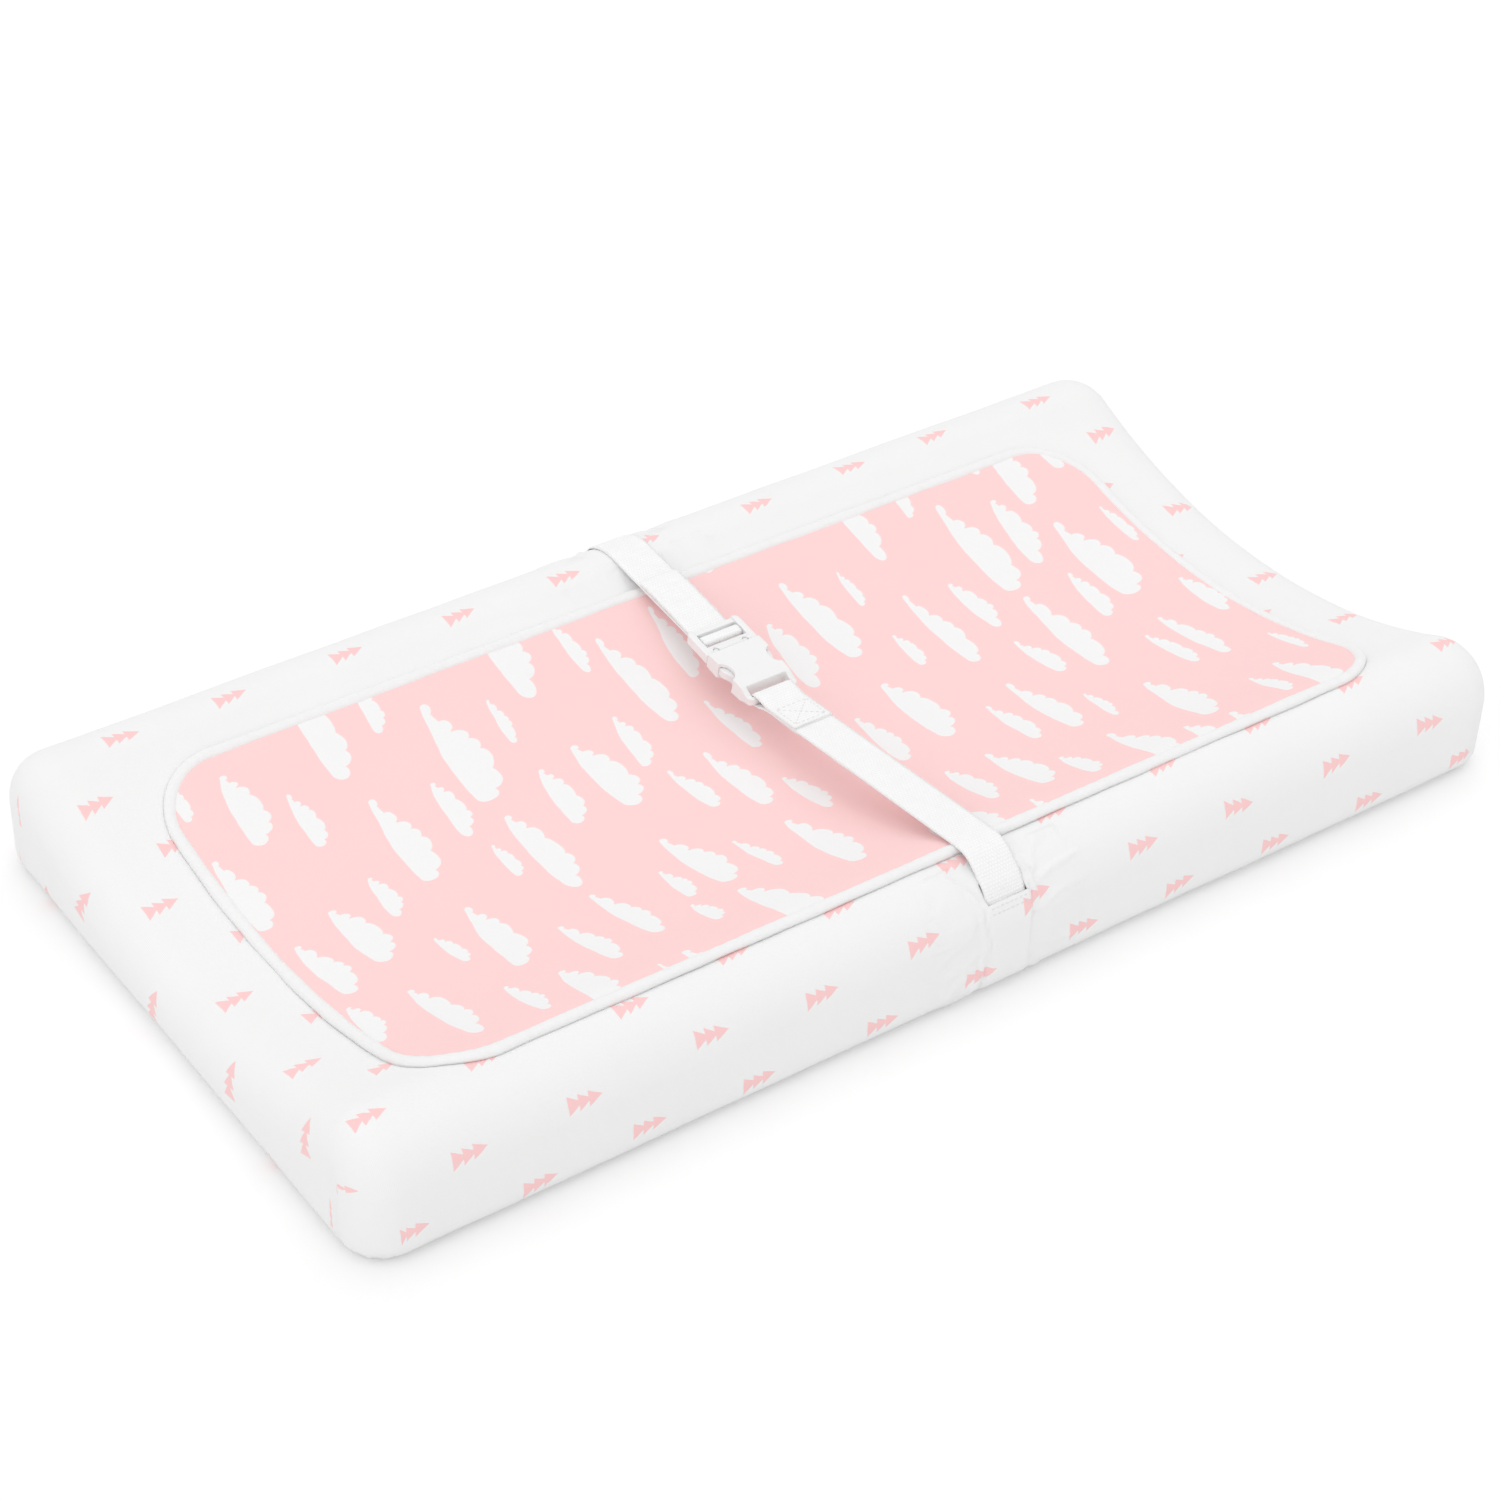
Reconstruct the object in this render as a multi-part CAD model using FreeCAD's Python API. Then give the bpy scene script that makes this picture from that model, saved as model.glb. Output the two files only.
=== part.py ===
import FreeCAD, Part
import math
import os

# Contoured changing pad with a fitted cover, a loose liner and a safety strap.
# Millimetres. X runs along the pad, Y across it, Z up. The origin is on the
# surface that the pad lies on, under the middle of the pad.

# Overall size of the dressed pad
pad_length = 813.0
pad_width = 425.0
crest_height = 80.0
valley_height = 40.0
crest_radius = 34.0
end_radius = 26.0
base_radius = 12.0

# Cover, waterproof shell and foam
cover_thickness = 1.2
shell_thickness = 0.8
layer_gap = 0.4
seam_gap = 0.3
end_flats = 4

# Turned-under hem of the cover, with its elastic
hem_width = 58.0
casing_width = 9.0
casing_height = 2.7
casing_wall = 0.7
elastic_gap = 0.25
hem_corner = 60.0

# Liner
liner_length = 694.0
liner_width = 328.0
liner_shift = -14.0
liner_corner = 48.0
liner_rest_gap = 0.3
backing_thickness = 0.5
batting_thickness = 1.0
topping_thickness = 0.5
ply_gap = 0.25
binding_width = 9.0
binding_wall = 0.5

# Strap
strap_x = 16.0
web_width = 28.0
web_thickness = 1.4
web_gap = 0.3
slit_angle = 35.0
emerge_angle = 52.0
climb_angle = 62.0
climbed_angle = 84.0
slit_side_gap = 0.6
sewn_loop_taper = 16.0
sewn_loop_lap = 26.0
tail_length = 56.0
strap_foot = 3.0

# Buckle, as one assembly along the strap: u along the strap, w up
buckle_y = 62.0
buckle_z = 72.0
buckle_tilt = 8.0
buckle_width = 38.0
socket_length = 45.5
socket_end_width = 36.6
socket_thickness = 11.6
socket_wall = 2.6
cavity_depth = 31.0
web_slot_side_gap = 0.6
end_bar_radius = 2.5
end_slot_length = 6.0
socket_dome = 0.9
plug_length = 24.0
plug_thickness = 6.6
plug_gap = 0.3
ladder_bar = 4.0
ladder_slot = 4.6
ladder_bar_thickness = 3.2
guide_width = 5.2
guide_height = 3.6
guide_length = 29.0
grip_rib_radius = 0.9
grip_ribs = 2

# Prongs
prong_thickness = 2.8
prong_height = 5.2
prong_length = 27.5
prong_inset = 5.6
knuckle_radius = 1.9
knuckle_gap = 0.15
barb_reach = 1.7
barb_length = 14.0
barb_nose = 4.7
barb_root = 1.0
barb_setback = 11.4

# Largest error when an edge is picked by its place
hair = 0.01

V = FreeCAD.Vector
parts = {}


def box(x0, x1, y0, y1, z0, z1):
    return Part.makeBox(x1 - x0, y1 - y0, z1 - z0, V(x0, y0, z0))


def flat(points, axis):
    """Closed flat face through straight edges, pushed along axis."""
    wire = Part.makePolygon(points + [points[0]])
    return Part.Face(wire).extrude(axis)


# Cross-section of the pad
# Each crest is an arc, the valley is one wide arc tangent to both crests, and
# every layer is the same section at its own depth below the cover's surface.
crest_y = pad_width / 2 - crest_radius
crest_z = crest_height - crest_radius
valley_drop = crest_z - valley_height
valley_radius = (crest_y ** 2 + valley_drop ** 2 - crest_radius ** 2) / (2 * (crest_radius + valley_drop))
valley_lean = math.asin(crest_y / (valley_radius + crest_radius))


def crest_point(side, depth, lean):
    """Point on a crest arc; lean is measured from straight up, inward positive."""
    r = crest_radius - depth
    y = side * (crest_y - r * math.sin(lean))
    return V(0, y, crest_z + r * math.cos(lean))


def top_edges(depth):
    """The pad's upper outline at one depth, from the near side to the far side."""
    quarter = math.pi / 2
    near_foot = crest_point(-1, depth, -quarter)
    near_top = crest_point(-1, depth, (valley_lean - quarter) / 2)
    near_joint = crest_point(-1, depth, valley_lean)
    far_foot = crest_point(1, depth, -quarter)
    far_top = crest_point(1, depth, (valley_lean - quarter) / 2)
    far_joint = crest_point(1, depth, valley_lean)
    middle = V(0, 0, valley_height - depth)
    return [
        Part.Arc(near_foot, near_top, near_joint).toShape(),
        Part.Arc(near_joint, middle, far_joint).toShape(),
        Part.Arc(far_joint, far_top, far_foot).toShape(),
    ]


def section(depth, floor):
    """Closed face of the pad's section with square lower corners."""
    half = pad_width / 2 - depth
    near_low = V(0, -half, floor)
    far_low = V(0, half, floor)
    near_foot = V(0, -half, crest_z)
    far_foot = V(0, half, crest_z)
    edges = top_edges(depth)
    edges.append(Part.makeLine(far_foot, far_low))
    edges.append(Part.makeLine(far_low, near_low))
    edges.append(Part.makeLine(near_low, near_foot))
    return Part.Face(Part.Wire(edges))


def rounded_section(depth):
    """The section with its lower corners rounded, for what wraps the long sides."""
    half = pad_width / 2 - depth
    inner = pad_width / 2 - base_radius
    r = base_radius - depth
    slant = r / math.sqrt(2)
    edges = top_edges(depth)
    far = [V(0, half, crest_z), V(0, half, base_radius), V(0, inner + slant, base_radius - slant),
           V(0, inner, base_radius - r)]
    near = [V(0, -p.y, p.z) for p in far]
    edges.append(Part.makeLine(far[0], far[1]))
    edges.append(Part.Arc(far[1], far[2], far[3]).toShape())
    edges.append(Part.makeLine(far[3], near[3]))
    edges.append(Part.Arc(near[3], near[2], near[1]).toShape())
    edges.append(Part.makeLine(near[1], near[0]))
    return Part.Face(Part.Wire(edges))


def pad_form(depth, floor):
    """The whole pad at one depth: the section run along X, with rounded ends and base."""
    half = pad_length / 2 - depth
    face = section(depth, floor)
    face.translate(V(-half, 0, 0))
    body = face.extrude(V(2 * half, 0, 0))
    ends = []
    for edge in body.Edges:
        b = edge.BoundBox
        at_end = b.XLength < hair and abs(abs(b.XMin) - half) < hair
        if at_end and b.ZMax > floor + hair:
            ends.append(edge)
    body = body.makeFillet(end_radius - depth, ends)
    low = [e for e in body.Edges if e.BoundBox.ZMax < floor + hair]
    return body.makeFillet(base_radius - depth, low)


def packed_form(depth, floor):
    """The same form for the layers inside the cover: short flats follow its rounding
    from within at both ends, and two flats follow it round the base."""
    reach = end_radius - depth
    wires = []
    for side in (-1, 1):
        for i in range(end_flats + 1):
            turn = math.pi / 2 * i / end_flats
            if side < 0:
                turn = math.pi / 2 - turn
            face = section(depth + reach * (1 - math.cos(turn)), floor)
            face.translate(V(side * (pad_length / 2 - end_radius + reach * math.sin(turn)), 0, 0))
            wires.append(face.OuterWire)
    body = Part.makeLoft(wires, True, True)
    half_x = pad_length / 2 - depth
    half_y = pad_width / 2 - depth
    r = base_radius - depth
    slant = r * (1 - math.sqrt(0.5))
    drop = [(0, base_radius), (0, depth), (r, depth), (slant, depth + slant)]
    for side in (-1, 1):
        along_x = [V(-half_x, side * (half_y - inward), z) for inward, z in drop]
        along_y = [V(side * (half_x - inward), -half_y, z) for inward, z in drop]
        body = body.cut(flat(along_x, V(2 * half_x, 0, 0)))
        body = body.cut(flat(along_y, V(0, 2 * half_y, 0)))
    return body


def slab(half_x, half_y, corner, z0, z1, y_middle=0.0):
    """Flat plate with rounded corners."""
    plate = box(-half_x, half_x, y_middle - half_y, y_middle + half_y, z0, z1)
    upright = [e for e in plate.Edges if e.BoundBox.ZLength > (z1 - z0) / 2]
    return plate.makeFillet(corner, upright)


def plan(inset, z0, z1):
    """Flat plate with the pad's plan outline drawn in by inset."""
    return slab(pad_length / 2 - inset, pad_width / 2 - inset, end_radius - inset, z0, z1)


def hem_slab(inset, z0, z1):
    """Flat plate inside the cover's underside; its corners keep one centre."""
    corner = hem_corner + hem_width - inset
    half_x = pad_length / 2 - base_radius - inset
    half_y = pad_width / 2 - base_radius - inset
    return slab(half_x, half_y, corner, z0, z1)


# Strap runs
# Everything of the strap lies in one upright plane across the pad. A run is a
# flat band drawn in Y and Z and pushed through the strap's width.
web_x0 = strap_x - web_width / 2
web_push = V(web_width, 0, 0)
under_inner = cover_thickness + layer_gap - web_gap
under_middle = under_inner - web_thickness / 2
over_middle = -web_gap - web_thickness / 2
ply_low = liner_rest_gap + binding_wall + ply_gap
backing_top = ply_low + backing_thickness
batting_low = backing_top + ply_gap
batting_top = batting_low + batting_thickness
topping_low = batting_top + ply_gap
topping_top = topping_low + topping_thickness
binding_top = topping_top + ply_gap + binding_wall
over_liner = over_middle - binding_top


def yz(y, z):
    return V(web_x0, y, z)


def run_line(a, b, half_a, half_b, across):
    """Straight run from a to b; across is the direction of its thickness."""
    corners = [a + across * half_a, b + across * half_b, b - across * half_b, a - across * half_a]
    return flat(corners, web_push)


def run_arc(centre, radius, start, stop):
    """Run round an arc in Y and Z, thickness split each side of the radius."""
    def at(r, angle):
        return centre + V(0, r * math.cos(angle), r * math.sin(angle))
    outer = radius + web_thickness / 2
    inner = radius - web_thickness / 2
    middle = (start + stop) / 2
    edges = [
        Part.Arc(at(outer, start), at(outer, middle), at(outer, stop)).toShape(),
        Part.makeLine(at(outer, stop), at(inner, stop)),
        Part.Arc(at(inner, stop), at(inner, middle), at(inner, start)).toShape(),
        Part.makeLine(at(inner, start), at(outer, start)),
    ]
    return Part.Face(Part.Wire(edges)).extrude(web_push)


def fused(pieces):
    whole = pieces[0]
    for piece in pieces[1:]:
        whole = whole.fuse(piece)
    return whole.removeSplitter()


def crest_run(side, leave, over_edge=0.0):
    """Strap from its sewn foot on the pad's side, up under the cover, out of the
    slit and over the crest to the angle at which it leaves it. Where over_edge is
    set, the strap climbs by that much to pass over the liner's edge."""
    centre = yz(side * crest_y, crest_z)
    under = crest_radius - under_middle
    over = crest_radius - over_middle
    y_side = side * (pad_width / 2 - under_middle)
    half = web_thickness / 2

    def turn(angle):
        return angle if side > 0 else math.pi - angle

    def spoke(r, degrees):
        angle = turn(math.radians(degrees))
        return centre + V(0, r * math.cos(angle), r * math.sin(angle))

    def arc(r, start, stop):
        return run_arc(centre, r, turn(math.radians(start)), turn(math.radians(stop)))

    def step(r0, degrees0, r1, degrees1):
        corners = [spoke(r0 - half, degrees0), spoke(r0 + half, degrees0),
                   spoke(r1 + half, degrees1), spoke(r1 - half, degrees1)]
        return flat(corners, web_push)
    foot = base_radius + strap_foot
    pieces = [
        run_line(yz(y_side, foot), yz(y_side, crest_z), half, half, V(0, 1, 0)),
        arc(under, 0, slit_angle),
        step(under, slit_angle, over, emerge_angle),
    ]
    if over_edge > 0:
        pieces.append(arc(over, emerge_angle, climb_angle))
        pieces.append(step(over, climb_angle, over + over_edge, climbed_angle))
        pieces.append(arc(over + over_edge, climbed_angle, leave))
    else:
        pieces.append(arc(over, emerge_angle, leave))
    return pieces


# Buckle frame: u runs along the strap to the far side, w up from its middle
tilt = math.radians(buckle_tilt)
along = V(0, math.cos(tilt), math.sin(tilt))
upward = V(0, -math.sin(tilt), math.cos(tilt))


def buckle_point(u, w):
    p = V(web_x0, buckle_y, buckle_z)
    return p + along * u + upward * w


def seated(shape):
    """Turn a shape drawn with the strap along Y into the buckle's place."""
    shape.rotate(V(0, 0, 0), V(1, 0, 0), buckle_tilt)
    shape.translate(V(strap_x, buckle_y, buckle_z))
    return shape


def tangent(point, centre, radius, side):
    """Where a line from point touches the top of a circle, and that point's angle."""
    to = point - centre
    distance = math.hypot(to.y, to.z)
    base = math.atan2(to.z, to.y)
    swing = math.acos(radius / distance)
    angle = base + swing if side < 0 else base - swing
    return centre + V(0, radius * math.cos(angle), radius * math.sin(angle)), angle


def strap_near():
    """Near half: sewn to the pad's side, over the near crest, looped on the end bar."""
    half = web_thickness / 2
    bar = buckle_point(end_bar_u, 0)
    centre = yz(-crest_y, crest_z)
    over = crest_radius - over_liner
    touch, angle = tangent(bar, centre, over + half, -1)
    d = touch - bar
    d.normalize()
    n = V(0, d.z, -d.y)
    pieces = crest_run(-1, math.degrees(math.pi - angle), binding_top)
    lead = centre + V(0, over * math.cos(angle), over * math.sin(angle))
    taper = bar + d * sewn_loop_taper
    lap = bar + d * (sewn_loop_taper + sewn_loop_lap)
    loop = end_bar_radius + web_gap + half
    pieces.append(run_line(lead, taper - n * half, half, half, n))
    pieces.append(run_line(taper + n * half, lap + n * half, half, half, n))
    pieces.append(run_line(bar - n * loop, taper - n * half, half, half, n))
    pieces.append(run_line(bar + n * loop, taper + n * half, half, half, n))
    away = math.atan2(-d.z, -d.y)
    quarter = math.pi / 2
    pieces.append(run_arc(bar, loop, away - quarter, away + quarter))
    return fused(pieces)


def mitred(points, half):
    """Band of even thickness along straight runs, mitred where they turn."""
    left = []
    right = []
    last = len(points) - 1
    for i, p in enumerate(points):
        before = points[i] - points[i - 1] if i > 0 else points[1] - points[0]
        after = points[i + 1] - points[i] if i < last else before
        before.normalize()
        after.normalize()
        n0 = V(0, -before.z, before.y)
        n1 = V(0, -after.z, after.y)
        across = n0 + n1
        scale = 2 * half / across.dot(across) if across.Length > 0 else half
        left.append(p + across * scale)
        right.append(p - across * scale)
    return flat(left + right[::-1], web_push)


def strap_far():
    """Far half: over the far crest, up through the ladder and back as the tail."""
    half = web_thickness / 2
    pitch = web_thickness + web_gap
    tail_w = -(ladder_bar_thickness / 2 + web_gap + half)
    load_w = tail_w - pitch
    top_w = ladder_bar_thickness / 2 + web_gap + half
    inner_u = ladder_centre_bar_u - ladder_bar / 2 - web_gap - half
    outer_u = ladder_centre_bar_u + ladder_bar / 2 + web_gap + half
    centre = yz(crest_y, crest_z)
    over = crest_radius - over_middle
    clear_u = plug_length + pitch
    turn_in = buckle_point(clear_u, load_w)
    touch, angle = tangent(turn_in, centre, over, 1)
    pieces = crest_run(1, math.degrees(angle))
    route = [touch, turn_in, buckle_point(inner_u, load_w), buckle_point(inner_u, top_w),
             buckle_point(outer_u, top_w), buckle_point(outer_u, tail_w)]
    toward = touch - turn_in
    toward.normalize()
    rise = V(0, -toward.z, toward.y)
    bend = turn_in + rise * pitch
    route.append(bend)
    route.append(bend + toward * tail_length)
    pieces.append(mitred(route, half))
    return fused(pieces)


# Places along the buckle
end_bar_u = -(socket_length - end_bar_radius)
end_slot_u0 = end_bar_u + end_bar_radius
end_slot_u1 = end_slot_u0 + end_slot_length
ladder_front = plug_length - 3 * ladder_bar / 2 - 2 * ladder_slot - ladder_bar / 2
ladder_centre_bar_u = plug_length - ladder_bar - ladder_slot - ladder_bar / 2
web_slot = web_width + 2 * web_slot_side_gap
cavity_half = buckle_width / 2 - socket_wall
cavity_height = prong_height + 2 * plug_gap
prong_v = cavity_half - prong_inset


def socket():
    """Female half: tapered shell, open mouth, scooped sides, slot and round end bar."""
    a = buckle_width / 2
    b = socket_end_width / 2
    t = socket_thickness / 2
    end = -socket_length
    outline = [V(-a, 0, -t), V(a, 0, -t), V(b, end_slot_u1, -t), V(b, end, -t),
               V(-b, end, -t), V(-b, end_slot_u1, -t)]
    body = flat(outline, V(0, 0, 2 * t))
    corner = end_bar_radius * 2
    upright = [e for e in body.Edges if e.BoundBox.ZLength > t and e.BoundBox.YMax < end + 1]
    body = body.makeFillet(corner, upright)
    # the shell's top and bottom sweep down to the thickness of the end bar
    r = end_bar_radius
    dome = socket_dome
    side_view = [
        Part.Arc(V(-a, 0, t - dome), V(-a, end_slot_u1 / 2, t), V(-a, end_slot_u1, t - dome)).toShape(),
        Part.makeLine(V(-a, end_slot_u1, t - dome), V(-a, end_slot_u0, r)),
        Part.makeLine(V(-a, end_slot_u0, r), V(-a, end_bar_u, r)),
        Part.Arc(V(-a, end_bar_u, r), V(-a, end, 0), V(-a, end_bar_u, -r)).toShape(),
        Part.makeLine(V(-a, end_bar_u, -r), V(-a, end_slot_u0, -r)),
        Part.makeLine(V(-a, end_slot_u0, -r), V(-a, end_slot_u1, dome - t)),
        Part.Arc(V(-a, end_slot_u1, dome - t), V(-a, end_slot_u1 / 2, -t), V(-a, 0, dome - t)).toShape(),
        Part.makeLine(V(-a, 0, dome - t), V(-a, 0, t - dome)),
    ]
    body = body.common(Part.Face(Part.Wire(side_view)).extrude(V(2 * a, 0, 0)))
    h = cavity_height / 2
    body = body.cut(box(-cavity_half, cavity_half, -cavity_depth, 1, -h, h))
    # round end bar between the two arms
    s = web_slot / 2
    body = body.cut(box(-s, s, end - 1, end_slot_u1, -t, t))
    bar = Part.makeCylinder(end_bar_radius, web_slot, V(-s, end_bar_u, 0), V(1, 0, 0))
    body = body.fuse(bar)
    # scooped side windows in which the prongs show
    window_front = -(barb_setback - plug_gap)
    window_back = -(barb_setback + barb_length + 2 * plug_gap)
    scoop = barb_length / 2 + plug_gap
    middle = (window_front + window_back) / 2
    for side in (-1, 1):
        x = side * a
        low, high = sorted((side * (cavity_half - plug_gap), side * (a + plug_gap)))
        body = body.cut(box(low, high, window_back, window_front, -h, h))
        bite = Part.makeCylinder(scoop, 2 * socket_thickness, V(0, 0, -socket_thickness))
        squash = FreeCAD.Matrix()
        squash.A11 = (socket_wall + prong_thickness) / scoop
        bite = bite.transformGeometry(squash)
        bite.translate(V(x, middle, 0))
        body = body.cut(bite)
    return seated(body.removeSplitter())


def knuckle_place(side):
    return V(side * prong_v, knuckle_radius + plug_gap + knuckle_gap, 0)


def plug():
    """Male half: ladder bars for the webbing, centre guide, and seats for the prongs."""
    a = buckle_width / 2
    t = plug_thickness / 2
    body = box(-a, a, plug_gap, plug_length, -t, t)
    upright = [e for e in body.Edges if e.BoundBox.ZLength > t]
    far = [e for e in upright if e.BoundBox.YMin > plug_length / 2]
    body = body.makeFillet(ladder_bar, far)
    s = web_slot / 2
    front = ladder_front
    # the ladder's well is thinner than the rim, so that the webbing lies in it
    b = ladder_bar_thickness / 2
    body = body.cut(box(-s, s, front, plug_length + 1, b, t + 1))
    body = body.cut(box(-s, s, front, plug_length + 1, -t - 1, -b))
    slot_in = ladder_centre_bar_u - ladder_bar / 2 - ladder_slot
    slot_out = ladder_centre_bar_u + ladder_bar / 2
    for start in (slot_in, slot_out):
        body = body.cut(box(-s, s, start, start + ladder_slot, -t - 1, t + 1))
    # grip ribs across the front block
    for i in range(grip_ribs):
        u = plug_gap + front * (i + 0.5) / grip_ribs
        grip = Part.makeCylinder(grip_rib_radius, web_slot, V(-s, u, t - grip_rib_radius / 2), V(1, 0, 0))
        body = body.fuse(grip)
    # centre guide with a tapered nose
    g = guide_width / 2
    h = guide_height / 2
    nose = guide_width
    blade = [V(-g, plug_gap, -h), V(g, plug_gap, -h), V(g, nose - guide_length, -h),
             V(g / 2, -guide_length, -h), V(-g / 2, -guide_length, -h), V(-g, nose - guide_length, -h)]
    body = body.fuse(flat(blade, V(0, 0, 2 * h)))
    # round seats in which the prongs' knuckles turn, open towards the mouth
    seat = knuckle_radius + knuckle_gap
    for side in (-1, 1):
        c = knuckle_place(side)
        body = body.cut(Part.makeCylinder(seat, 4 * t, V(c.x, c.y, -2 * t)))
        body = body.cut(box(c.x - seat, c.x + seat, plug_gap - 1, c.y, -2 * t, 2 * t))
    return seated(body.removeSplitter())


def prong(side):
    """Springy side arm with a round root and a barb that fills the socket's window."""
    c = knuckle_place(side)
    h = prong_height / 2
    half = prong_thickness / 2
    out = cavity_half + barb_reach - prong_v
    tip = -prong_length
    back = -(barb_setback + barb_length)
    front = -barb_setback
    outline = [V(-half, c.y, 0), V(half, c.y, 0), V(half, front, 0), V(out, front, 0),
               V(out, front - barb_nose, 0), V(half + barb_root, back, 0), V(half, tip, 0),
               V(-half / 2, tip, 0)]
    arm = flat(outline, V(0, 0, 2 * h))
    arm = arm.fuse(Part.makeCylinder(knuckle_radius, 2 * h, V(0, c.y, 0)))
    arm.translate(V(0, 0, -h))
    if side < 0:
        arm = arm.mirror(V(0, 0, 0), V(1, 0, 0))
    arm.translate(V(c.x, 0, 0))
    return seated(arm.removeSplitter())


def strap_tunnel(side, cover):
    """Raise the cover over the strap and leave the slit where the strap comes out."""
    lift = under_inner - web_thickness - web_gap
    half = web_width / 2 + slit_side_gap
    wall = half + cover_thickness
    slit_z = crest_z + (crest_radius - under_middle) * math.sin(math.radians(slit_angle))
    open_z = crest_z + crest_radius * math.sin(math.radians(emerge_angle + 1))
    outer = pad_width / 2 - lift + 2 * cover_thickness
    inner = pad_width / 2 - base_radius

    def column(reach, z0, z1, y_in):
        low, high = sorted((side * y_in, side * outer))
        return box(strap_x - reach, strap_x + reach, low, high, z0, z1)
    raised = rounded_section(lift - cover_thickness).cut(rounded_section(cover_thickness))
    raised.translate(V(strap_x - wall, 0, 0))
    raised = raised.extrude(V(2 * wall, 0, 0))
    cover = cover.fuse(raised.common(column(wall, 0, slit_z, inner)))
    hollow = rounded_section(lift).cut(rounded_section(cover_thickness + layer_gap))
    hollow.translate(V(strap_x - half, 0, 0))
    hollow = hollow.extrude(V(2 * half, 0, 0))
    tunnel_low = base_radius + strap_foot - web_gap
    cover = cover.cut(hollow.common(column(half, tunnel_low, slit_z + 1, inner)))
    return cover.cut(column(half, slit_z, open_z, crest_y))


def fitted_cover():
    """Knit cover, open underneath inside the turn of its lower edge."""
    outer = pad_form(0, 0)
    cover = outer.cut(packed_form(cover_thickness, cover_thickness))
    cover = cover.cut(plan(base_radius, -1, cover_thickness))
    for side in (-1, 1):
        cover = strap_tunnel(side, cover)
    return cover.removeSplitter()


def hem_band():
    """Turned-under band with a folded casing round the opening."""
    bead_outer = hem_width - casing_width
    band = plan(base_radius + seam_gap, 0, cover_thickness)
    bead = hem_slab(bead_outer, 0, casing_height)
    opening = hem_slab(hem_width, -1, casing_height + 1)
    return band.fuse(bead).cut(opening).cut(casing_ring(casing_wall)).removeSplitter()


def casing_ring(wall):
    """Ring that lies inside the casing, wall away from its outside all round."""
    outer = hem_slab(hem_width - casing_width + wall, wall, casing_height - wall)
    return outer.cut(hem_slab(hem_width - wall, 0, casing_height))


def liner_plan(inset, z0, z1):
    return slab(liner_length / 2 - inset, liner_width / 2 - inset, liner_corner - inset, z0, z1,
                liner_shift)


def liner_ply(low, high, inset):
    """Curved sheet over the valley between two heights above the cover."""
    top = top_edges(-high)
    under = top_edges(-low)
    first = Part.makeLine(under[0].Vertexes[0].Point, top[0].Vertexes[0].Point)
    last = Part.makeLine(top[-1].Vertexes[-1].Point, under[-1].Vertexes[-1].Point)
    face = Part.Face(Part.Wire(Part.__sortEdges__(top + under + [first, last])))
    half = liner_length / 2 + 1
    face.translate(V(-half, 0, 0))
    sheet = face.extrude(V(2 * half, 0, 0))
    return sheet.common(liner_plan(inset, 0, crest_height + 2 * high))


def export(name, shape):
    parts[name] = shape
    shape.exportStep("parts/" + name + ".step")


os.makedirs("parts", exist_ok=True)

# Pad and cover
shell_depth = cover_thickness + layer_gap
shell_floor = casing_height + seam_gap
foam_depth = shell_depth + shell_thickness + layer_gap
foam_floor = shell_floor + shell_thickness + layer_gap
export("foam_core", packed_form(foam_depth, foam_floor))
shell = packed_form(shell_depth, shell_floor)
shell = shell.cut(packed_form(shell_depth + shell_thickness, shell_floor + shell_thickness))
shell = shell.cut(plan(base_radius, shell_floor - 1, shell_floor + shell_thickness))
export("pad_shell", shell)
export("base_panel", plan(base_radius + seam_gap, shell_floor, shell_floor + shell_thickness))
export("fitted_cover", fitted_cover())
export("cover_hem", hem_band())
export("hem_elastic", casing_ring(casing_wall + elastic_gap))

# Liner
ply_inset = binding_wall + ply_gap
export("liner_backing", liner_ply(ply_low, backing_top, ply_inset))
export("liner_batting", liner_ply(batting_low, batting_top, ply_inset))
export("liner_top", liner_ply(topping_low, topping_top, ply_inset))
binding = liner_ply(liner_rest_gap, binding_top, 0)
binding = binding.cut(liner_plan(binding_width, -1, 2 * crest_height))
groove = liner_ply(liner_rest_gap + binding_wall, binding_top - binding_wall, binding_wall)
export("liner_binding", binding.cut(groove))

# Strap and buckle
export("strap_near", strap_near())
export("strap_far", strap_far())
export("buckle_socket", socket())
export("buckle_plug", plug())
export("prong_left", prong(-1))
export("prong_right", prong(1))

for name, shape in parts.items():
    b = shape.BoundBox
    print("%-14s solids %d valid %s volume %.1f" % (name, len(shape.Solids), shape.isValid(), shape.Volume))
    print("    box %.1f %.1f %.1f to %.1f %.1f %.1f" % (b.XMin, b.YMin, b.ZMin, b.XMax, b.YMax, b.ZMax))
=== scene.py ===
import math

import bpy
import numpy as np
from mathutils import Matrix, Vector, noise


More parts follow.
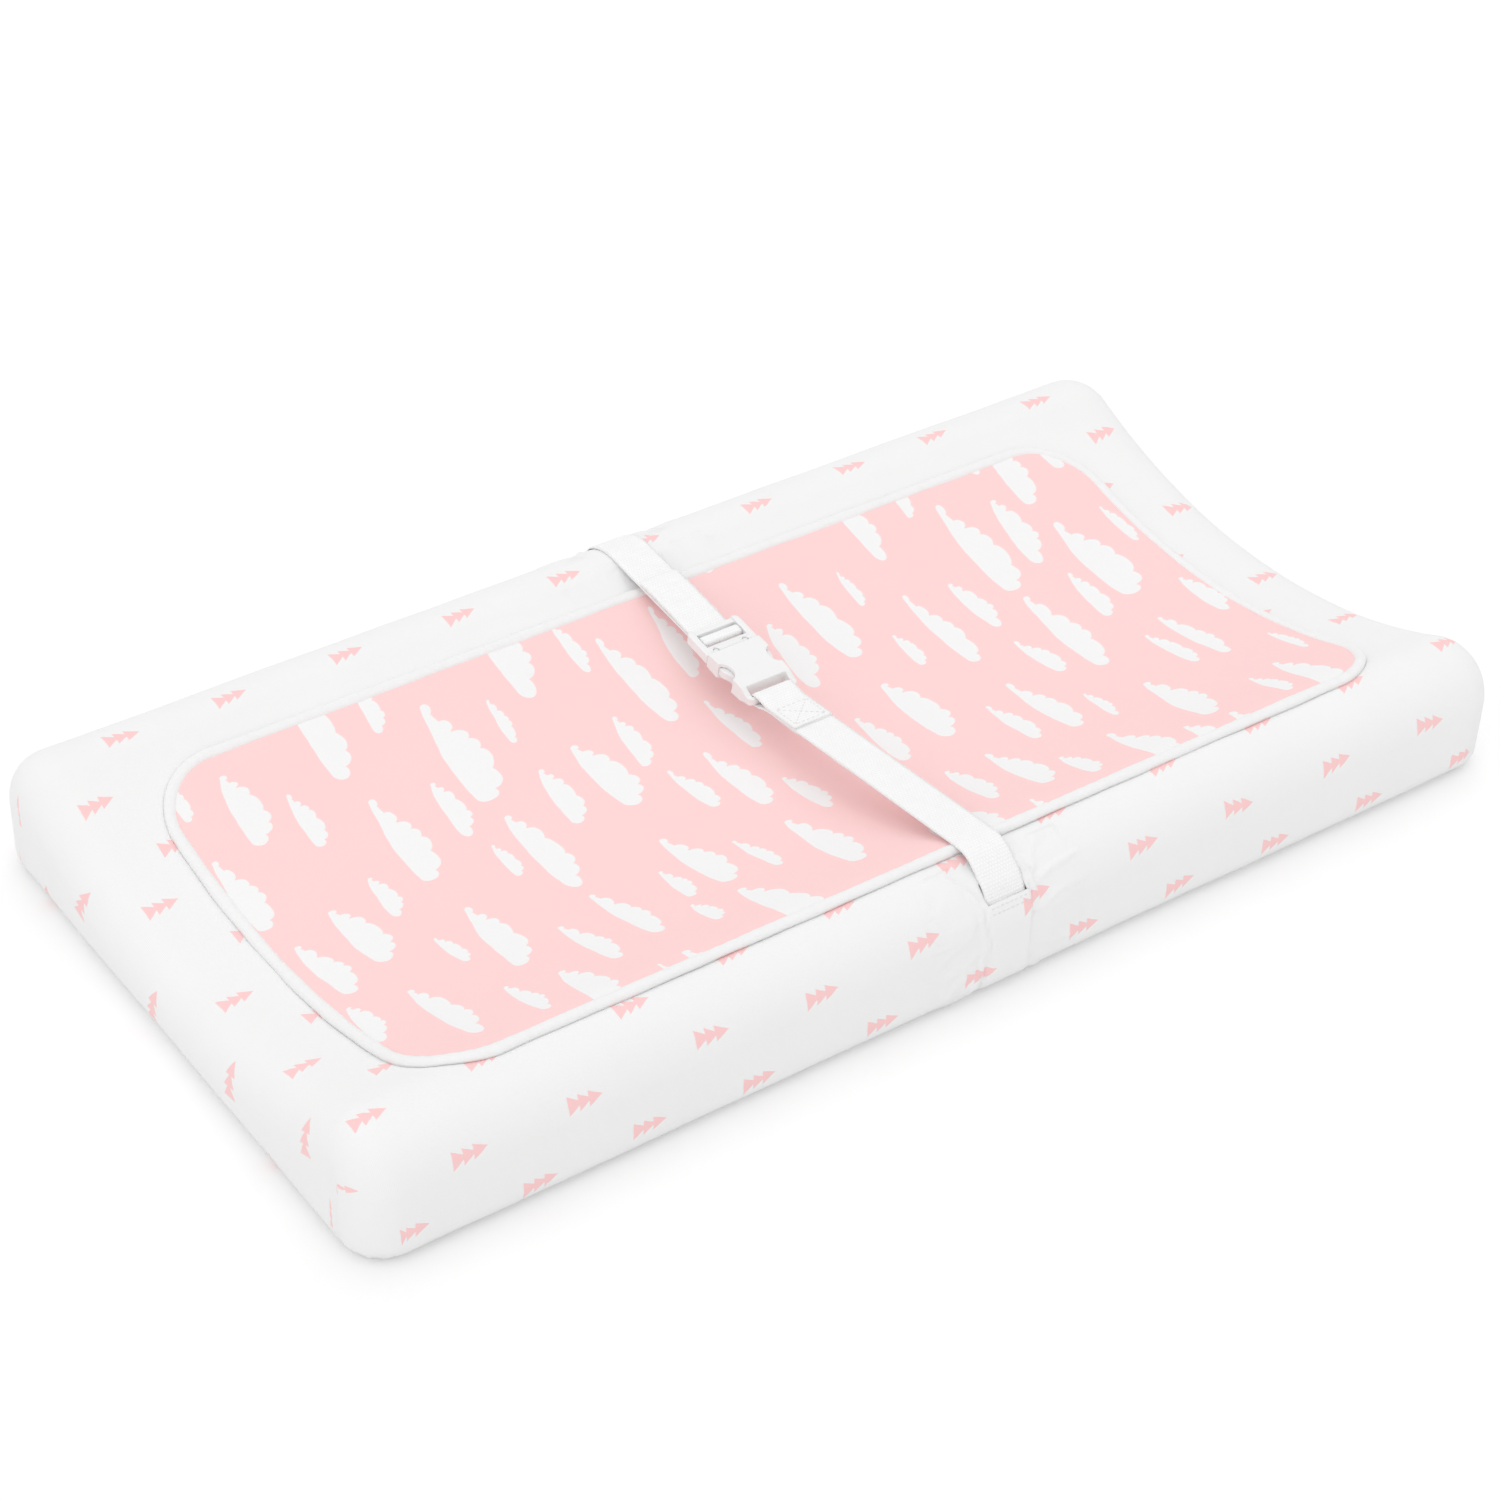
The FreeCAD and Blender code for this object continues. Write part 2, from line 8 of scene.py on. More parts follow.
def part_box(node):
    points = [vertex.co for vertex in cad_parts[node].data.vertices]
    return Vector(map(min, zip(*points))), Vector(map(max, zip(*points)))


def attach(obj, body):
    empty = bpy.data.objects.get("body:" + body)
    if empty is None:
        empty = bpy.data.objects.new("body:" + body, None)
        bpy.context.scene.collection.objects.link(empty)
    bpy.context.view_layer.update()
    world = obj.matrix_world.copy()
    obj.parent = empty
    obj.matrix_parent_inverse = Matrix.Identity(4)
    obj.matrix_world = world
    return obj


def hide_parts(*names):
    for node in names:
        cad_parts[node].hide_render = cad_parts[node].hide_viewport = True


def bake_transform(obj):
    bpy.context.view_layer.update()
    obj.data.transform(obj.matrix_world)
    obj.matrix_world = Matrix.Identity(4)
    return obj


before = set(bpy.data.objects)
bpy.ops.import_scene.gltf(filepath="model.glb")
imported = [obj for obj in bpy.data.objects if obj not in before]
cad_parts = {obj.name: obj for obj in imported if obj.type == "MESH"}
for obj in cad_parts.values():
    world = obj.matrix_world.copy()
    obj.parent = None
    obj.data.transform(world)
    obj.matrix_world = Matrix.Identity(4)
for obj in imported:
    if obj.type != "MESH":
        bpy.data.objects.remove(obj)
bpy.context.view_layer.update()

# Looks of the contoured changing pad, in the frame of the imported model.
# Shapes are worked out in millimetres and scaled to metres where meshes are made.
MM = 0.001

# Pad form, as the solids have it
half_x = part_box("fitted_cover")[1].x / MM
half_y = 212.5
crest_height = 80.0
valley_height = 40.0
crest_radius = 34.0
end_radius = 26.0
base_radius = 12.0
cover_thickness = 1.2
shell_depth = 1.6
body_floor = 4.0
hem_width = 58.0
hem_corner = 60.0
casing_width = 9.0
casing_height = 2.7

crest_y = half_y - crest_radius
crest_z = crest_height - crest_radius
valley_drop = crest_z - valley_height
valley_reach = crest_y ** 2 + valley_drop ** 2 - crest_radius ** 2
valley_radius = valley_reach / (2 * (crest_radius + valley_drop))
valley_lean = math.asin(crest_y / (valley_radius + crest_radius))
inner_x = half_x - end_radius
quarter = math.pi / 2

# Strap
strap_x = 16.0
web_width = 28.0
web_thickness = 1.4
web_gap = 0.3
slit_angle = 35.0
emerge_angle = 52.0
slit_half = web_width / 2 + 0.35
strap_lift = 2.0


def smooth(low, high, value):
    """0 below low, 1 above high, and a smooth step between."""
    t = np.clip((np.asarray(value, float) - low) / (high - low), 0, 1)
    return t * t * (3 - 2 * t)


def ripple(points, scale, seed):
    """Soft seeded noise at points, about -1 to 1, with features about scale wide."""
    shift = Vector((seed * 17.3, seed * 5.1, seed * 9.7))
    return np.array([noise.noise(Vector(p) / scale + shift) for p in points])


# Materials are small node trees. A Number is an output of one of their nodes.
class Number:
    """A number that a material works out; arithmetic on it adds math nodes."""

    def __init__(self, socket):
        self.socket = socket

    def math(self, operation, *others):
        node = self.socket.id_data.nodes.new("ShaderNodeMath")
        node.operation = operation
        for socket, value in zip(node.inputs, (self, *others)):
            feed(socket, value)
        return Number(node.outputs[0])

    def __add__(self, other):
        return self.math("ADD", other)

    def __sub__(self, other):
        return self.math("SUBTRACT", other)

    def __rsub__(self, other):
        return self.math("MULTIPLY_ADD", -1.0, other)

    def __mul__(self, other):
        return self.math("MULTIPLY", other)

    def __truediv__(self, other):
        return self.math("DIVIDE", other)

    def __mod__(self, other):
        return self.math("FLOORED_MODULO", other)

    def floor(self):
        return self.math("FLOOR")

    def clamped(self):
        """The same number kept between 0 and 1."""
        self.socket.node.use_clamp = True
        return self


def feed(socket, value):
    """Give an input a number, a colour or the output of another node."""
    if isinstance(value, Number):
        value = value.socket
    if isinstance(value, bpy.types.NodeSocket):
        socket.id_data.links.new(value, socket)
    elif isinstance(value, tuple):
        socket.default_value = (*value, 1.0)
    else:
        socket.default_value = value


def new_material(name):
    material = bpy.data.materials.new(name)
    material.use_nodes = True
    tree = material.node_tree
    return material, tree, tree.nodes["Principled BSDF"]


def finished(made, colour, roughness, bump, specular=0.5, sheen=0.0):
    """A new material, given its colour, roughness, sheen and bump."""
    material, tree, shader = made
    node = tree.nodes.new("ShaderNodeBump")
    for name, value in zip(("Height", "Strength", "Distance"), bump):
        feed(node.inputs[name], value)
    for name, value in (("Base Color", colour), ("Roughness", roughness), ("Normal", node.outputs[0]),
                        ("Specular IOR Level", specular), ("Sheen Weight", sheen)):
        feed(shader.inputs[name], value)
    return material


def mixed(share, first, second):
    """Colour between two colours."""
    node = share.socket.id_data.nodes.new("ShaderNodeMix")
    node.data_type = "RGBA"
    for i, value in ((0, share), (6, first), (7, second)):
        feed(node.inputs[i], value)
    return node.outputs[2]


def in_millimetres(vector):
    """The first two coordinates of a vector, in millimetres."""
    split = vector.id_data.nodes.new("ShaderNodeSeparateXYZ")
    feed(split.inputs[0], vector)
    return [Number(split.outputs[i]) * (1 / MM) for i in (0, 1)]


def uv_axes(tree):
    """The two cloth coordinates in millimetres."""
    uv = tree.nodes.new("ShaderNodeUVMap")
    uv.uv_map = "cloth"
    return in_millimetres(uv.outputs[0])


def object_place(tree):
    return tree.nodes.new("ShaderNodeTexCoord").outputs["Object"]


def vector_of(x, y, z=0.0):
    node = x.socket.id_data.nodes.new("ShaderNodeCombineXYZ")
    for socket, value in zip(node.inputs, (x, y, z)):
        feed(socket, value)
    return node.outputs[0]


def noise_of(vector, scale, detail=2.0):
    node = vector.id_data.nodes.new("ShaderNodeTexNoise")
    for name, value in (("Vector", vector), ("Scale", scale), ("Detail", detail)):
        feed(node.inputs[name], value)
    return Number(node.outputs["Fac"])


def wave(value, pitch):
    """0 to 1 and back over each pitch."""
    return (value * (2 * math.pi / pitch)).math("SINE").math("MULTIPLY_ADD", 0.5, 0.5)


def knit_height(along, across):
    """Columns of small stitches, each row half a stitch on."""
    column = wave(along, knit_pitch)
    return column * wave(column * (0.5 * knit_pitch) + across, knit_pitch * 1.2)


def staggered(along, across, pitch_along, pitch_across):
    """Cells in rows, every other row half a cell on: the place from the cell's middle,
    and the cell's number in its row and its row's number."""
    row = (across / pitch_across).floor()
    moved = row % 2.0 * (pitch_along / 2) + along
    column = (moved / pitch_along).floor()
    return moved % pitch_along - pitch_along / 2, across % pitch_across - pitch_across / 2, column, row


def cell_numbers(column, row, seed=None):
    """Three numbers between 0 and 1 that belong to a cell of the print."""
    nodes = column.socket.id_data.nodes
    white = nodes.new("ShaderNodeTexWhiteNoise")
    white.noise_dimensions = "2D" if seed is None else "3D"
    feed(white.inputs["Vector"], vector_of(column, row, seed or 0.0))
    split = nodes.new("ShaderNodeSeparateColor")
    feed(split.inputs[0], white.outputs["Color"])
    return [Number(socket) for socket in split.outputs]


def either_side(share, amount):
    """A number between 0 and 1 brought between -amount and amount."""
    return share.math("MULTIPLY_ADD", 2 * amount, -amount)


def printed(inside):
    """1 where a distance inside an outline is above 0, with a soft edge."""
    return inside.math("MULTIPLY_ADD", print_sharpness, 0.5).clamped()


def largest(values):
    """The largest of several numbers."""
    most = values[0]
    for value in values[1:]:
        most = most.math("MAXIMUM", value)
    return most


def wobble(along, across, size, amount):
    """The cloth coordinates pushed about a little, so that printed edges aren't ruled."""
    first = noise_of(vector_of(along, across), 1.0 / size)
    second = noise_of(vector_of(across, along, 40.0), 1.0 / size)
    return along + either_side(first, amount / 2), across + either_side(second, amount / 2)


def grey(level):
    return (level, level, level)


knit_pitch = 0.9
print_sharpness = 3.0
white_cloth = grey(0.905)
pink_print = (0.975, 0.62, 0.62)

# Motif: pitches of its cells, and start, length and half width of each triangle
motif_pitch = (76.0, 41.0)
triangle_stack = ((-10.5, 8.8, 5.9), (-3.9, 8.2, 5.2), (2.4, 8.6, 4.7))


def triangle_motif(along, across):
    """Mask of small stacks of three triangles that point along the pad, in staggered rows."""
    u, v, column, row = staggered(along, across, *motif_pitch)
    # each stack sits a little off its place and is turned a little
    off_u, off_v, lean = cell_numbers(column, row)
    u = u + either_side(off_u, 7.0)
    v = v + either_side(off_v, 4.0)
    v = v + either_side(lean, 0.12) * u
    masks = []
    for start, length, width in triangle_stack:
        run = u - start
        inside = (1.0 - run / length) * width - v.math("ABSOLUTE")
        masks.append(printed(inside) * printed(run))
    return largest(masks)


# Clouds: half sizes, half of the lane they keep to, and their outline
cloud_half_length = 28.0
cloud_half_width = 12.0
cloud_lane = 17.0
cloud_end_radius = 3.7
cloud_rise = 6.4
cloud_bow = 2.2
cloud_puffs = 7
cloud_skew = 0.42
cloud_taper = 0.40


def cloud_layer(along, across, pitch, shift, sizes, seed):
    """How far inside a cloud a place is. Clouds lie across the liner, one to a cell, each
    of its own size, place and outline: a row of puffs over a bowed base, narrow at one end."""
    pitch_u, pitch_v = pitch
    v, u, row, column = staggered(across + shift[1], along + shift[0], pitch_v, pitch_u)
    big, place_u, place_v = cell_numbers(column, row, seed)
    swing, lean, tall = cell_numbers(column, row, seed + 7.5)
    size = big * (sizes[1] - sizes[0]) + sizes[0]
    room_u = size * -cloud_half_width + cloud_lane
    room_v = size * -(cloud_half_length + cloud_end_radius) + (pitch_v / 2 - 1.0)
    u = (u + either_side(place_u, 1.0) * room_u) / size
    v = (v + either_side(place_v, 1.0) * room_v) / size
    # the puffs are pushed about, and the cloud leans, by the cell's own numbers
    v = v + (v * 0.16 + swing * (2 * math.pi)).math("SINE") * 2.4
    u = u + either_side(lean, 0.11) * v + 3.5
    u = u / (tall * 0.4 + 0.75)
    puffs = []
    for i in range(cloud_puffs):
        t = 2 * i / (cloud_puffs - 1) - 1
        arch = (1 - t * t) * (1 - cloud_skew * t)
        radius = cloud_end_radius * (1 - cloud_taper * t) + (2.5 + 0.7 * math.sin(2.3 * i)) * arch
        du = u - (cloud_rise + 0.9 * math.sin(3.9 * i)) * arch
        dv = v - cloud_half_length * t
        puffs.append(radius - (du * du + dv * dv).math("SQRT"))
    # the body between the puffs' middles and the bowed base
    t = v / cloud_half_length
    bow = 1.0 - t * t
    above = bow * (t * -cloud_skew + 1.0) * (cloud_rise + 1.5) - u
    foot = t * (cloud_taper * cloud_end_radius) - cloud_end_radius - bow * cloud_bow
    body = above.math("MINIMUM", u - foot).math("MINIMUM", bow * (cloud_half_length / 2))
    return largest([*puffs, body]) * size


def cloud_mask(along, across):
    """Large clouds in wide cells, and small ones in the lanes between them."""
    large = cloud_layer(along, across, (66.0, 100.0), (0.0, 10.0), (0.9, 1.36), 2.5)
    small = cloud_layer(along, across, (66.0, 84.0), (33.0, 26.0), (0.5, 0.95), 11.5)
    return printed(largest([large, small]))


def jersey(name, motif=True):
    made = new_material(name)
    along, across = uv_axes(made[1])
    place = vector_of(along, across)
    colour = mixed(noise_of(place, 0.02, 3.0), grey(0.975 * white_cloth[0]), white_cloth)
    if motif:
        colour = mixed(triangle_motif(*wobble(along, across, 6.0, 0.9)), colour, pink_print)
    height = knit_height(along, across) * 0.35 + noise_of(place, 0.25, 3.0) * 0.5
    return finished(made, colour, 0.85, (height, 0.25, 0.0006), specular=0.25, sheen=0.12)


def printed_liner():
    made = new_material("printed_liner")
    along, across = uv_axes(made[1])
    place = vector_of(along, across)
    ground = mixed(noise_of(place, 0.015, 3.0), (0.975, 0.655, 0.65), (0.985, 0.68, 0.675))
    colour = mixed(cloud_mask(*wobble(along, across, 14.0, 1.6)), ground, white_cloth)
    height = knit_height(along, across) * 0.3 + noise_of(place, 0.12, 3.0) * 0.6
    return finished(made, colour, 0.8, (height, 0.25, 0.0006), specular=0.25, sheen=0.08)


def webbing():
    """Woven tape: ribs across it, each rib broken into picks that step sideways."""
    made = new_material("webbing")
    along, across = uv_axes(made[1])
    rib_pitch = 2.1
    pick = wave((along / rib_pitch).floor() + across, 2.0)
    height = (wave(along, rib_pitch) * 0.45 + 0.55) * (pick * 0.55 + 0.45)
    # Colour follows the weave's height: painted shade in its low parts, over random darker patches.
    worn = noise_of(vector_of(along, across), 0.12) * 0.8 + 0.4
    colour = mixed(height * worn, grey(0.87), grey(0.985))
    return finished(made, colour, 0.55, (height, 0.6, 0.0005), specular=0.4, sheen=0.05)


def white_plastic():
    made = new_material("white_plastic")
    place = object_place(made[1])
    grain = noise_of(place, 2500.0)
    colour = mixed(noise_of(place, 60.0), grey(0.97 * 0.87), grey(0.87))
    return finished(made, colour, grain * 0.12 + 0.30, (grain, 0.08, 0.0001), specular=0.35)


def vinyl():
    made = new_material("vinyl")
    place = object_place(made[1])
    grain = noise_of(place, 900.0, 4.0)
    colour = mixed(noise_of(place, 20.0), (0.84, 0.85, 0.86), (0.88, 0.88, 0.885))
    return finished(made, colour, grain * 0.15 + 0.38, (grain, 0.3, 0.0003))


def dotted_base():
    """Non-slip underside: a vinyl sheet with raised dots in staggered rows."""
    made = new_material("dotted_base")
    place = object_place(made[1])
    dot_pitch, dot_reach = 9.0, 1.6
    u, v, column, row = staggered(*in_millimetres(place), dot_pitch, dot_pitch)
    dot = (dot_reach - (u * u + v * v).math("SQRT")).clamped()
    roughness = noise_of(place, 900.0, 4.0) * 0.2 + 0.4
    colour = mixed(dot, (0.80, 0.81, 0.82), (0.70, 0.71, 0.72))
    return finished(made, colour, roughness, (dot, 0.8, 0.0008))


def tape():
    """Plain cotton tape: a fine woven grain, slightly creased across its length."""
    made = new_material("binding_tape")
    along, across = uv_axes(made[1])
    yarn_pitch = 0.7
    weave = wave(across, yarn_pitch) * wave(along, yarn_pitch)
    crease = noise_of(vector_of(along, across * 0.15), 0.18, 3.0)
    # Colour follows the creases' relief: painted shade where they lie low.
    colour = mixed(crease, grey(0.875), grey(0.915))
    return finished(made, colour, 0.8, (weave * 0.3 + crease, 0.35, 0.0008), specular=0.25)


def thread():
    made = new_material("thread")
    twist = noise_of(object_place(made[1]), 1800.0)
    # Colour follows the twist's relief: painted shade where it lies low.
    return finished(made, mixed(twist, grey(0.72), grey(0.88)), 0.6, (twist, 0.4, 0.0002))


# Meshes
def piece(name, points, faces, material=None, uv=None):
    """Mesh object from points in millimetres; uv holds cloth coordinates in millimetres."""
    mesh = bpy.data.meshes.new(name)
    corners = [tuple(map(int, f)) for f in faces]
    mesh.from_pydata([tuple(p) for p in np.asarray(points, float) * MM], [], corners)
    if uv is not None:
        layer = mesh.uv_layers.new(name="cloth")
        loops = np.zeros(len(mesh.loops), np.int32)
        mesh.loops.foreach_get("vertex_index", loops)
        layer.data.foreach_set("uv", (np.asarray(uv, float) * MM)[loops].astype(np.float32).ravel())
    mesh.validate()
    mesh.polygons.foreach_set("use_smooth", [True] * len(mesh.polygons))
    return placed(name, mesh, material)


def placed(name, data, material=None):
    """New object of a mesh, light or camera, in the scene."""
    obj = bpy.data.objects.new(name, data)
    bpy.context.scene.collection.objects.link(obj)
    if material:
        data.materials.append(material)
    return obj


def apply_modifiers(obj):
    """The object's mesh with its modifiers worked in."""
    graph = bpy.context.evaluated_depsgraph_get()
    worked = obj.evaluated_get(graph)
    mesh = bpy.data.meshes.new_from_object(worked, preserve_all_data_layers=True, depsgraph=graph)
    obj.modifiers.clear()
    obj.data = mesh


def tube_faces(rings, around, closed=False, base=0):
    """Faces between rings of points, which may close on themselves."""
    faces = []
    for i in range(rings if closed else rings - 1):
        here, there = base + i * around, base + (i + 1) % rings * around
        for j in range(around):
            nxt = (j + 1) % around
            faces.append((here + j, here + nxt, there + nxt, there + j))
    return faces


def section_stations(crest_step, valley_step):
    """Stations over the pad from the near foot to the far one: points, outward
    directions and the length run from the middle, all in the plane across the pad."""
    crest_turns = max(2, round(math.degrees(quarter + valley_lean) / crest_step))
    leans = np.linspace(-quarter, valley_lean, crest_turns + 1)
    near_n = np.stack([np.sin(leans), np.cos(leans)], 1)
    near = np.array([-crest_y, crest_z]) + crest_radius * near_n
    turns = max(2, round(2 * valley_radius * valley_lean / valley_step))
    psi = np.linspace(-valley_lean, valley_lean, turns + 1)[1:-1]
    mid_n = np.stack([-np.sin(psi), np.cos(psi)], 1)
    mid = np.array([0, valley_height + valley_radius]) - valley_radius * mid_n
    flip = np.array([-1, 1])
    points = np.concatenate([near, mid, near[::-1] * flip])
    directions = np.concatenate([near_n, mid_n, near_n[::-1] * flip])
    run = np.concatenate([[0], np.cumsum(np.linalg.norm(np.diff(points, axis=0), axis=1))])
    return points, directions, run - run[-1] / 2


def spaced_along(low, high, coarse, fine, middle, steps):
    """Places from low to high, with fine steps on both sides of middle, then coarse ones."""
    near = middle + fine * np.arange(-steps, steps + 1)
    before = np.linspace(low, near[0], round((near[0] - low) / coarse) + 1)[:-1]
    after = np.linspace(near[-1], high, round((high - near[-1]) / coarse) + 1)[1:]
    return np.concatenate([before, near, after])


def pad_surface(depth, floor, x_places, section, corner_turns, wall_rows, base_rows):
    """Grid over the whole pad at one depth: the top with its rounded ends, then the
    walls and the rounded base. Returns points, directions, cloth coordinates, faces,
    the top's grid size and the bottom rim's vertex numbers with their plan directions."""
    points2, directions2, run = section
    radius = end_radius - depth
    base = base_radius - depth
    rows = []
    for side in (-1, 1):
        turns = [quarter * i / corner_turns for i in range(corner_turns, 0, -1)]
        if side > 0:
            rows.extend((x, 0.0, 0) for x in x_places)
            turns = turns[::-1]
        rows.extend((side * inner_x, turn, side) for turn in turns)
    points, normals, cloth = [], [], []
    for x, turn, side in rows:
        core = points2 - directions2 * end_radius
        yz = core + directions2 * radius * math.cos(turn)
        if side == 0:
            yz = points2 - directions2 * depth
        px = x + side * radius * math.sin(turn)
        u = x + side * end_radius * turn
        for (y, z), (ny, nz), v in zip(yz, directions2, run):
            points.append((px, y, z))
            normals.append((side * math.sin(turn), ny * math.cos(turn), nz * math.cos(turn)))
            cloth.append((u, v))
    across = len(points2)
    count = len(rows)
    faces = [(i * across + j, (i + 1) * across + j, (i + 1) * across + j + 1, i * across + j + 1)
             for i in range(count - 1) for j in range(across - 1)]
    # the rim of the top, once round, with the outward direction in plan
    rim = [(i * across, (side * math.sin(turn), -math.cos(turn)))
           for i, (x, turn, side) in enumerate(rows)]
    rim.extend(((count - 1) * across + j, (1.0, 0.0)) for j in range(1, across - 1))
    for i in reversed(range(count)):
        x, turn, side = rows[i]
        rim.append((i * across + across - 1, (side * math.sin(turn), math.cos(turn))))
    rim.extend((j, (-1.0, 0.0)) for j in range(across - 2, 0, -1))
    previous = [index for index, m in rim]
    edge = [(m, points[index], cloth[index]) for index, m in rim]
    lowest = base_radius
    for k in range(1, wall_rows + base_rows + 1):
        current = []
        for m, top, (u, v) in edge:
            if k <= wall_rows:
                share = k / wall_rows
                z = top[2] + (lowest - top[2]) * share
                drop = top[2] - z
                inward, tip = 0.0, 0.0
            else:
                tip = quarter * (k - wall_rows) / base_rows
                z = max(floor, lowest - base * math.sin(tip))
                inward = base * (1 - math.cos(tip))
                drop = top[2] - lowest + base * tip
            current.append(len(points))
            points.append((top[0] - m[0] * inward, top[1] - m[1] * inward, z))
            normals.append((m[0] * math.cos(tip), m[1] * math.cos(tip), -math.sin(tip)))
            cloth.append((u + m[0] * drop, v + m[1] * drop))
        for j in range(len(rim)):
            nxt = (j + 1) % len(rim)
            faces.append((previous[j], current[j], current[nxt], previous[nxt]))
        previous = current
    bottom = [(index, m) for index, (m, top, uv) in zip(previous, edge)]
    return np.array(points), np.array(normals), np.array(cloth), faces, (count, across), bottom


def rounded_loop(half_a, half_b, corner, count):
    """Points evenly round a rounded rectangle, from the middle of its near side."""
    total = 4 * (half_a - corner) + 4 * (half_b - corner) + 4 * quarter * corner
    return np.array([rounded_at(total * i / count, half_a, half_b, corner) for i in range(count)])


def rounded_at(s, half_a, half_b, corner):
    """Point and outward direction at a length s round a rounded rectangle."""
    a, b = half_a - corner, half_b - corner
    arc = quarter * corner
    legs = [(a, (0, -half_b), (1, 0), (0, -1)), (arc, (a, -b), None, 0),
            (2 * b, (half_a, -b), (0, 1), (1, 0)), (arc, (a, b), None, 1),
            (2 * a, (a, half_b), (-1, 0), (0, 1)), (arc, (-a, b), None, 2),
            (2 * b, (-half_a, b), (0, -1), (-1, 0)), (arc, (-a, -b), None, 3),
            (a, (-a, -half_b), (1, 0), (0, -1))]
    for length, start, way, out in legs:
        if s <= length or (start == (-a, -half_b) and way is not None):
            if way is None:
                turn = -quarter + out * quarter + s / corner
                m = (math.cos(turn), math.sin(turn))
                return (start[0] + corner * m[0], start[1] + corner * m[1], m[0], m[1])
            return (start[0] + way[0] * s, start[1] + way[1] * s, out[0], out[1])
        s -= length
    return (0.0, -half_b, 0.0, -1.0)


def surface_height(y):
    """Height of the cover over the pad at y, away from the ends."""
    y = np.abs(np.asarray(y, float))
    joint = crest_y - crest_radius * math.sin(valley_lean)
    valley = valley_height + valley_radius - np.sqrt(valley_radius ** 2 - np.minimum(y, joint) ** 2)
    crest = crest_z + np.sqrt(np.maximum(crest_radius ** 2 - (y - crest_y) ** 2, 0))
    return np.where(y < joint, valley, crest)


def fold(cloth, path, width, height):
    """Ridge along a path in cloth coordinates, fading at its ends."""
    path = np.array(path, float)
    best = np.full(len(cloth), 1e9)
    place = np.zeros(len(cloth))
    lengths = np.linalg.norm(np.diff(path, axis=0), axis=1)
    total = lengths.sum()
    done = 0.0
    for start, end, length in zip(path[:-1], path[1:], lengths):
        way = (end - start) / length
        t = np.clip((cloth - start) @ way, 0, length)
        distance = np.linalg.norm(cloth - start - t[:, None] * way, axis=1)
        nearer = distance < best
        best = np.where(nearer, distance, best)
        place = np.where(nearer, (done + t) / total, place)
        done += length
    fade = np.sin(np.pi * np.clip(place, 0.02, 0.98)) ** 0.6
    return height * fade * np.exp(-(best / width) ** 2)


def cover_relief(points, normals, cloth, foot):
    """How far the cover stands off its plain form: slow unevenness, and the band over
    the strap from the base up to the slit."""
    long_side = np.abs(normals[:, 1]) > 0.2
    down = np.abs(cloth[:, 1]) - foot
    crest_run = crest_radius * math.radians(slit_angle)
    along_band = np.where(long_side & (np.abs(cloth[:, 1]) > foot - crest_run - 0.5), 1.0, 0.0)
    edge = 1 - smooth(slit_half - 0.4, slit_half + 2.8, np.abs(points[:, 0] - strap_x))
    low_fade = 1 - smooth(28, 52, down)
    relief = 0.5 * ripple(points, 90.0, 1) + 0.25 * ripple(points, 34.0, 2)
    return relief * (1 - 0.8 * edge) + strap_lift * edge * along_band * low_fade


# Creases round the near (-1) and the far slit (1): path from the slit's middle, width, height
slit_folds = {
    -1: (([(-34, -24), (-24, -12), (-18, -1), (-16, 8)], 1.9, 1.5),
         ([(16, -16), (20, -6), (19, 8)], 1.6, 1.5),
         ([(19, 2), (34, -3), (58, -6)], 2.2, 1.5),
         ([(18, 18), (36, 12), (60, 10)], 2.6, 1.1),
         ([(-17, 8), (-13, 24), (-14, 44), (-19, 64)], 1.6, -1.5),
         ([(-20, 10), (-17, 26), (-18, 42), (-24, 60)], 2.4, 1.1),
         ([(-19, 56), (-32, 62), (-50, 66)], 2.4, 1.2),
         ([(-20, 30), (-32, 38), (-44, 40)], 2.4, 0.8),
         ([(17, 40), (30, 46), (52, 50)], 2.8, 0.9),
         ([(16, 54), (24, 62), (30, 70)], 2.2, 0.8)),
    1: (([(-30, -20), (-21, -8), (-16, 4)], 2.4, 1.0),
        ([(28, -22), (20, -9), (16, 4)], 2.4, 1.0),
        ([(-18, 14), (-34, 20), (-52, 22)], 3.0, 0.8),
        ([(18, 16), (32, 24), (54, 28)], 3.0, 0.8),
        ([(-17, 42), (-28, 52), (-36, 64)], 2.6, 0.6)),
}


def side_folds(cloth, foot, side):
    """Creases in the cover round one slit and beside the band under it."""
    local = np.stack([cloth[:, 0] - strap_x, side * cloth[:, 1] - foot], 1)
    slit = -crest_radius * math.radians(slit_angle)
    return sum(fold(local, [(off, slit + run) for off, run in path], width, height)
               for path, width, height in slit_folds[side])


def corner_gathers(points):
    """Small upright puckers at the four corners, deepest at the base."""
    x, y, z = points.T
    out = np.zeros(len(points))
    for sx in (-1, 1):
        for sy in (-1, 1):
            turn = np.arctan2(sy * y - (half_y - end_radius), sx * x - inner_x)
            near = (sx * x > inner_x - 24) & (sy * y > half_y - end_radius - 24)
            window = np.exp(-((turn - quarter / 2) / 0.75) ** 2)
            strength = window * (1 - smooth(8, 44, z)) * near
            phase = 0.7 * sx + 1.3 * sy
            out += 0.55 * strength * np.sin(15 * turn + phase) * smooth(-30, -4, -z)
    return out


# Cloth patch round the strap: its reach, how far the strap draws it down, its spare
# length, how long it settles, how far it may sink or rise, and how it is simulated
settle_reach = 60.0
settle_draw = 2.6
settle_slack = 0.015
settle_frames = 24
settle_sink = 0.2
settle_rise = 3.0
settle_cloth = {"quality": 5, "mass": 0.2, "tension_stiffness": 20, "compression_stiffness": 20,
                "shear_stiffness": 4, "bending_stiffness": 0.08, "vertex_group_mass": "held",
                "shrink_min": -settle_slack, "use_pressure": True, "uniform_pressure_force": 0.6}


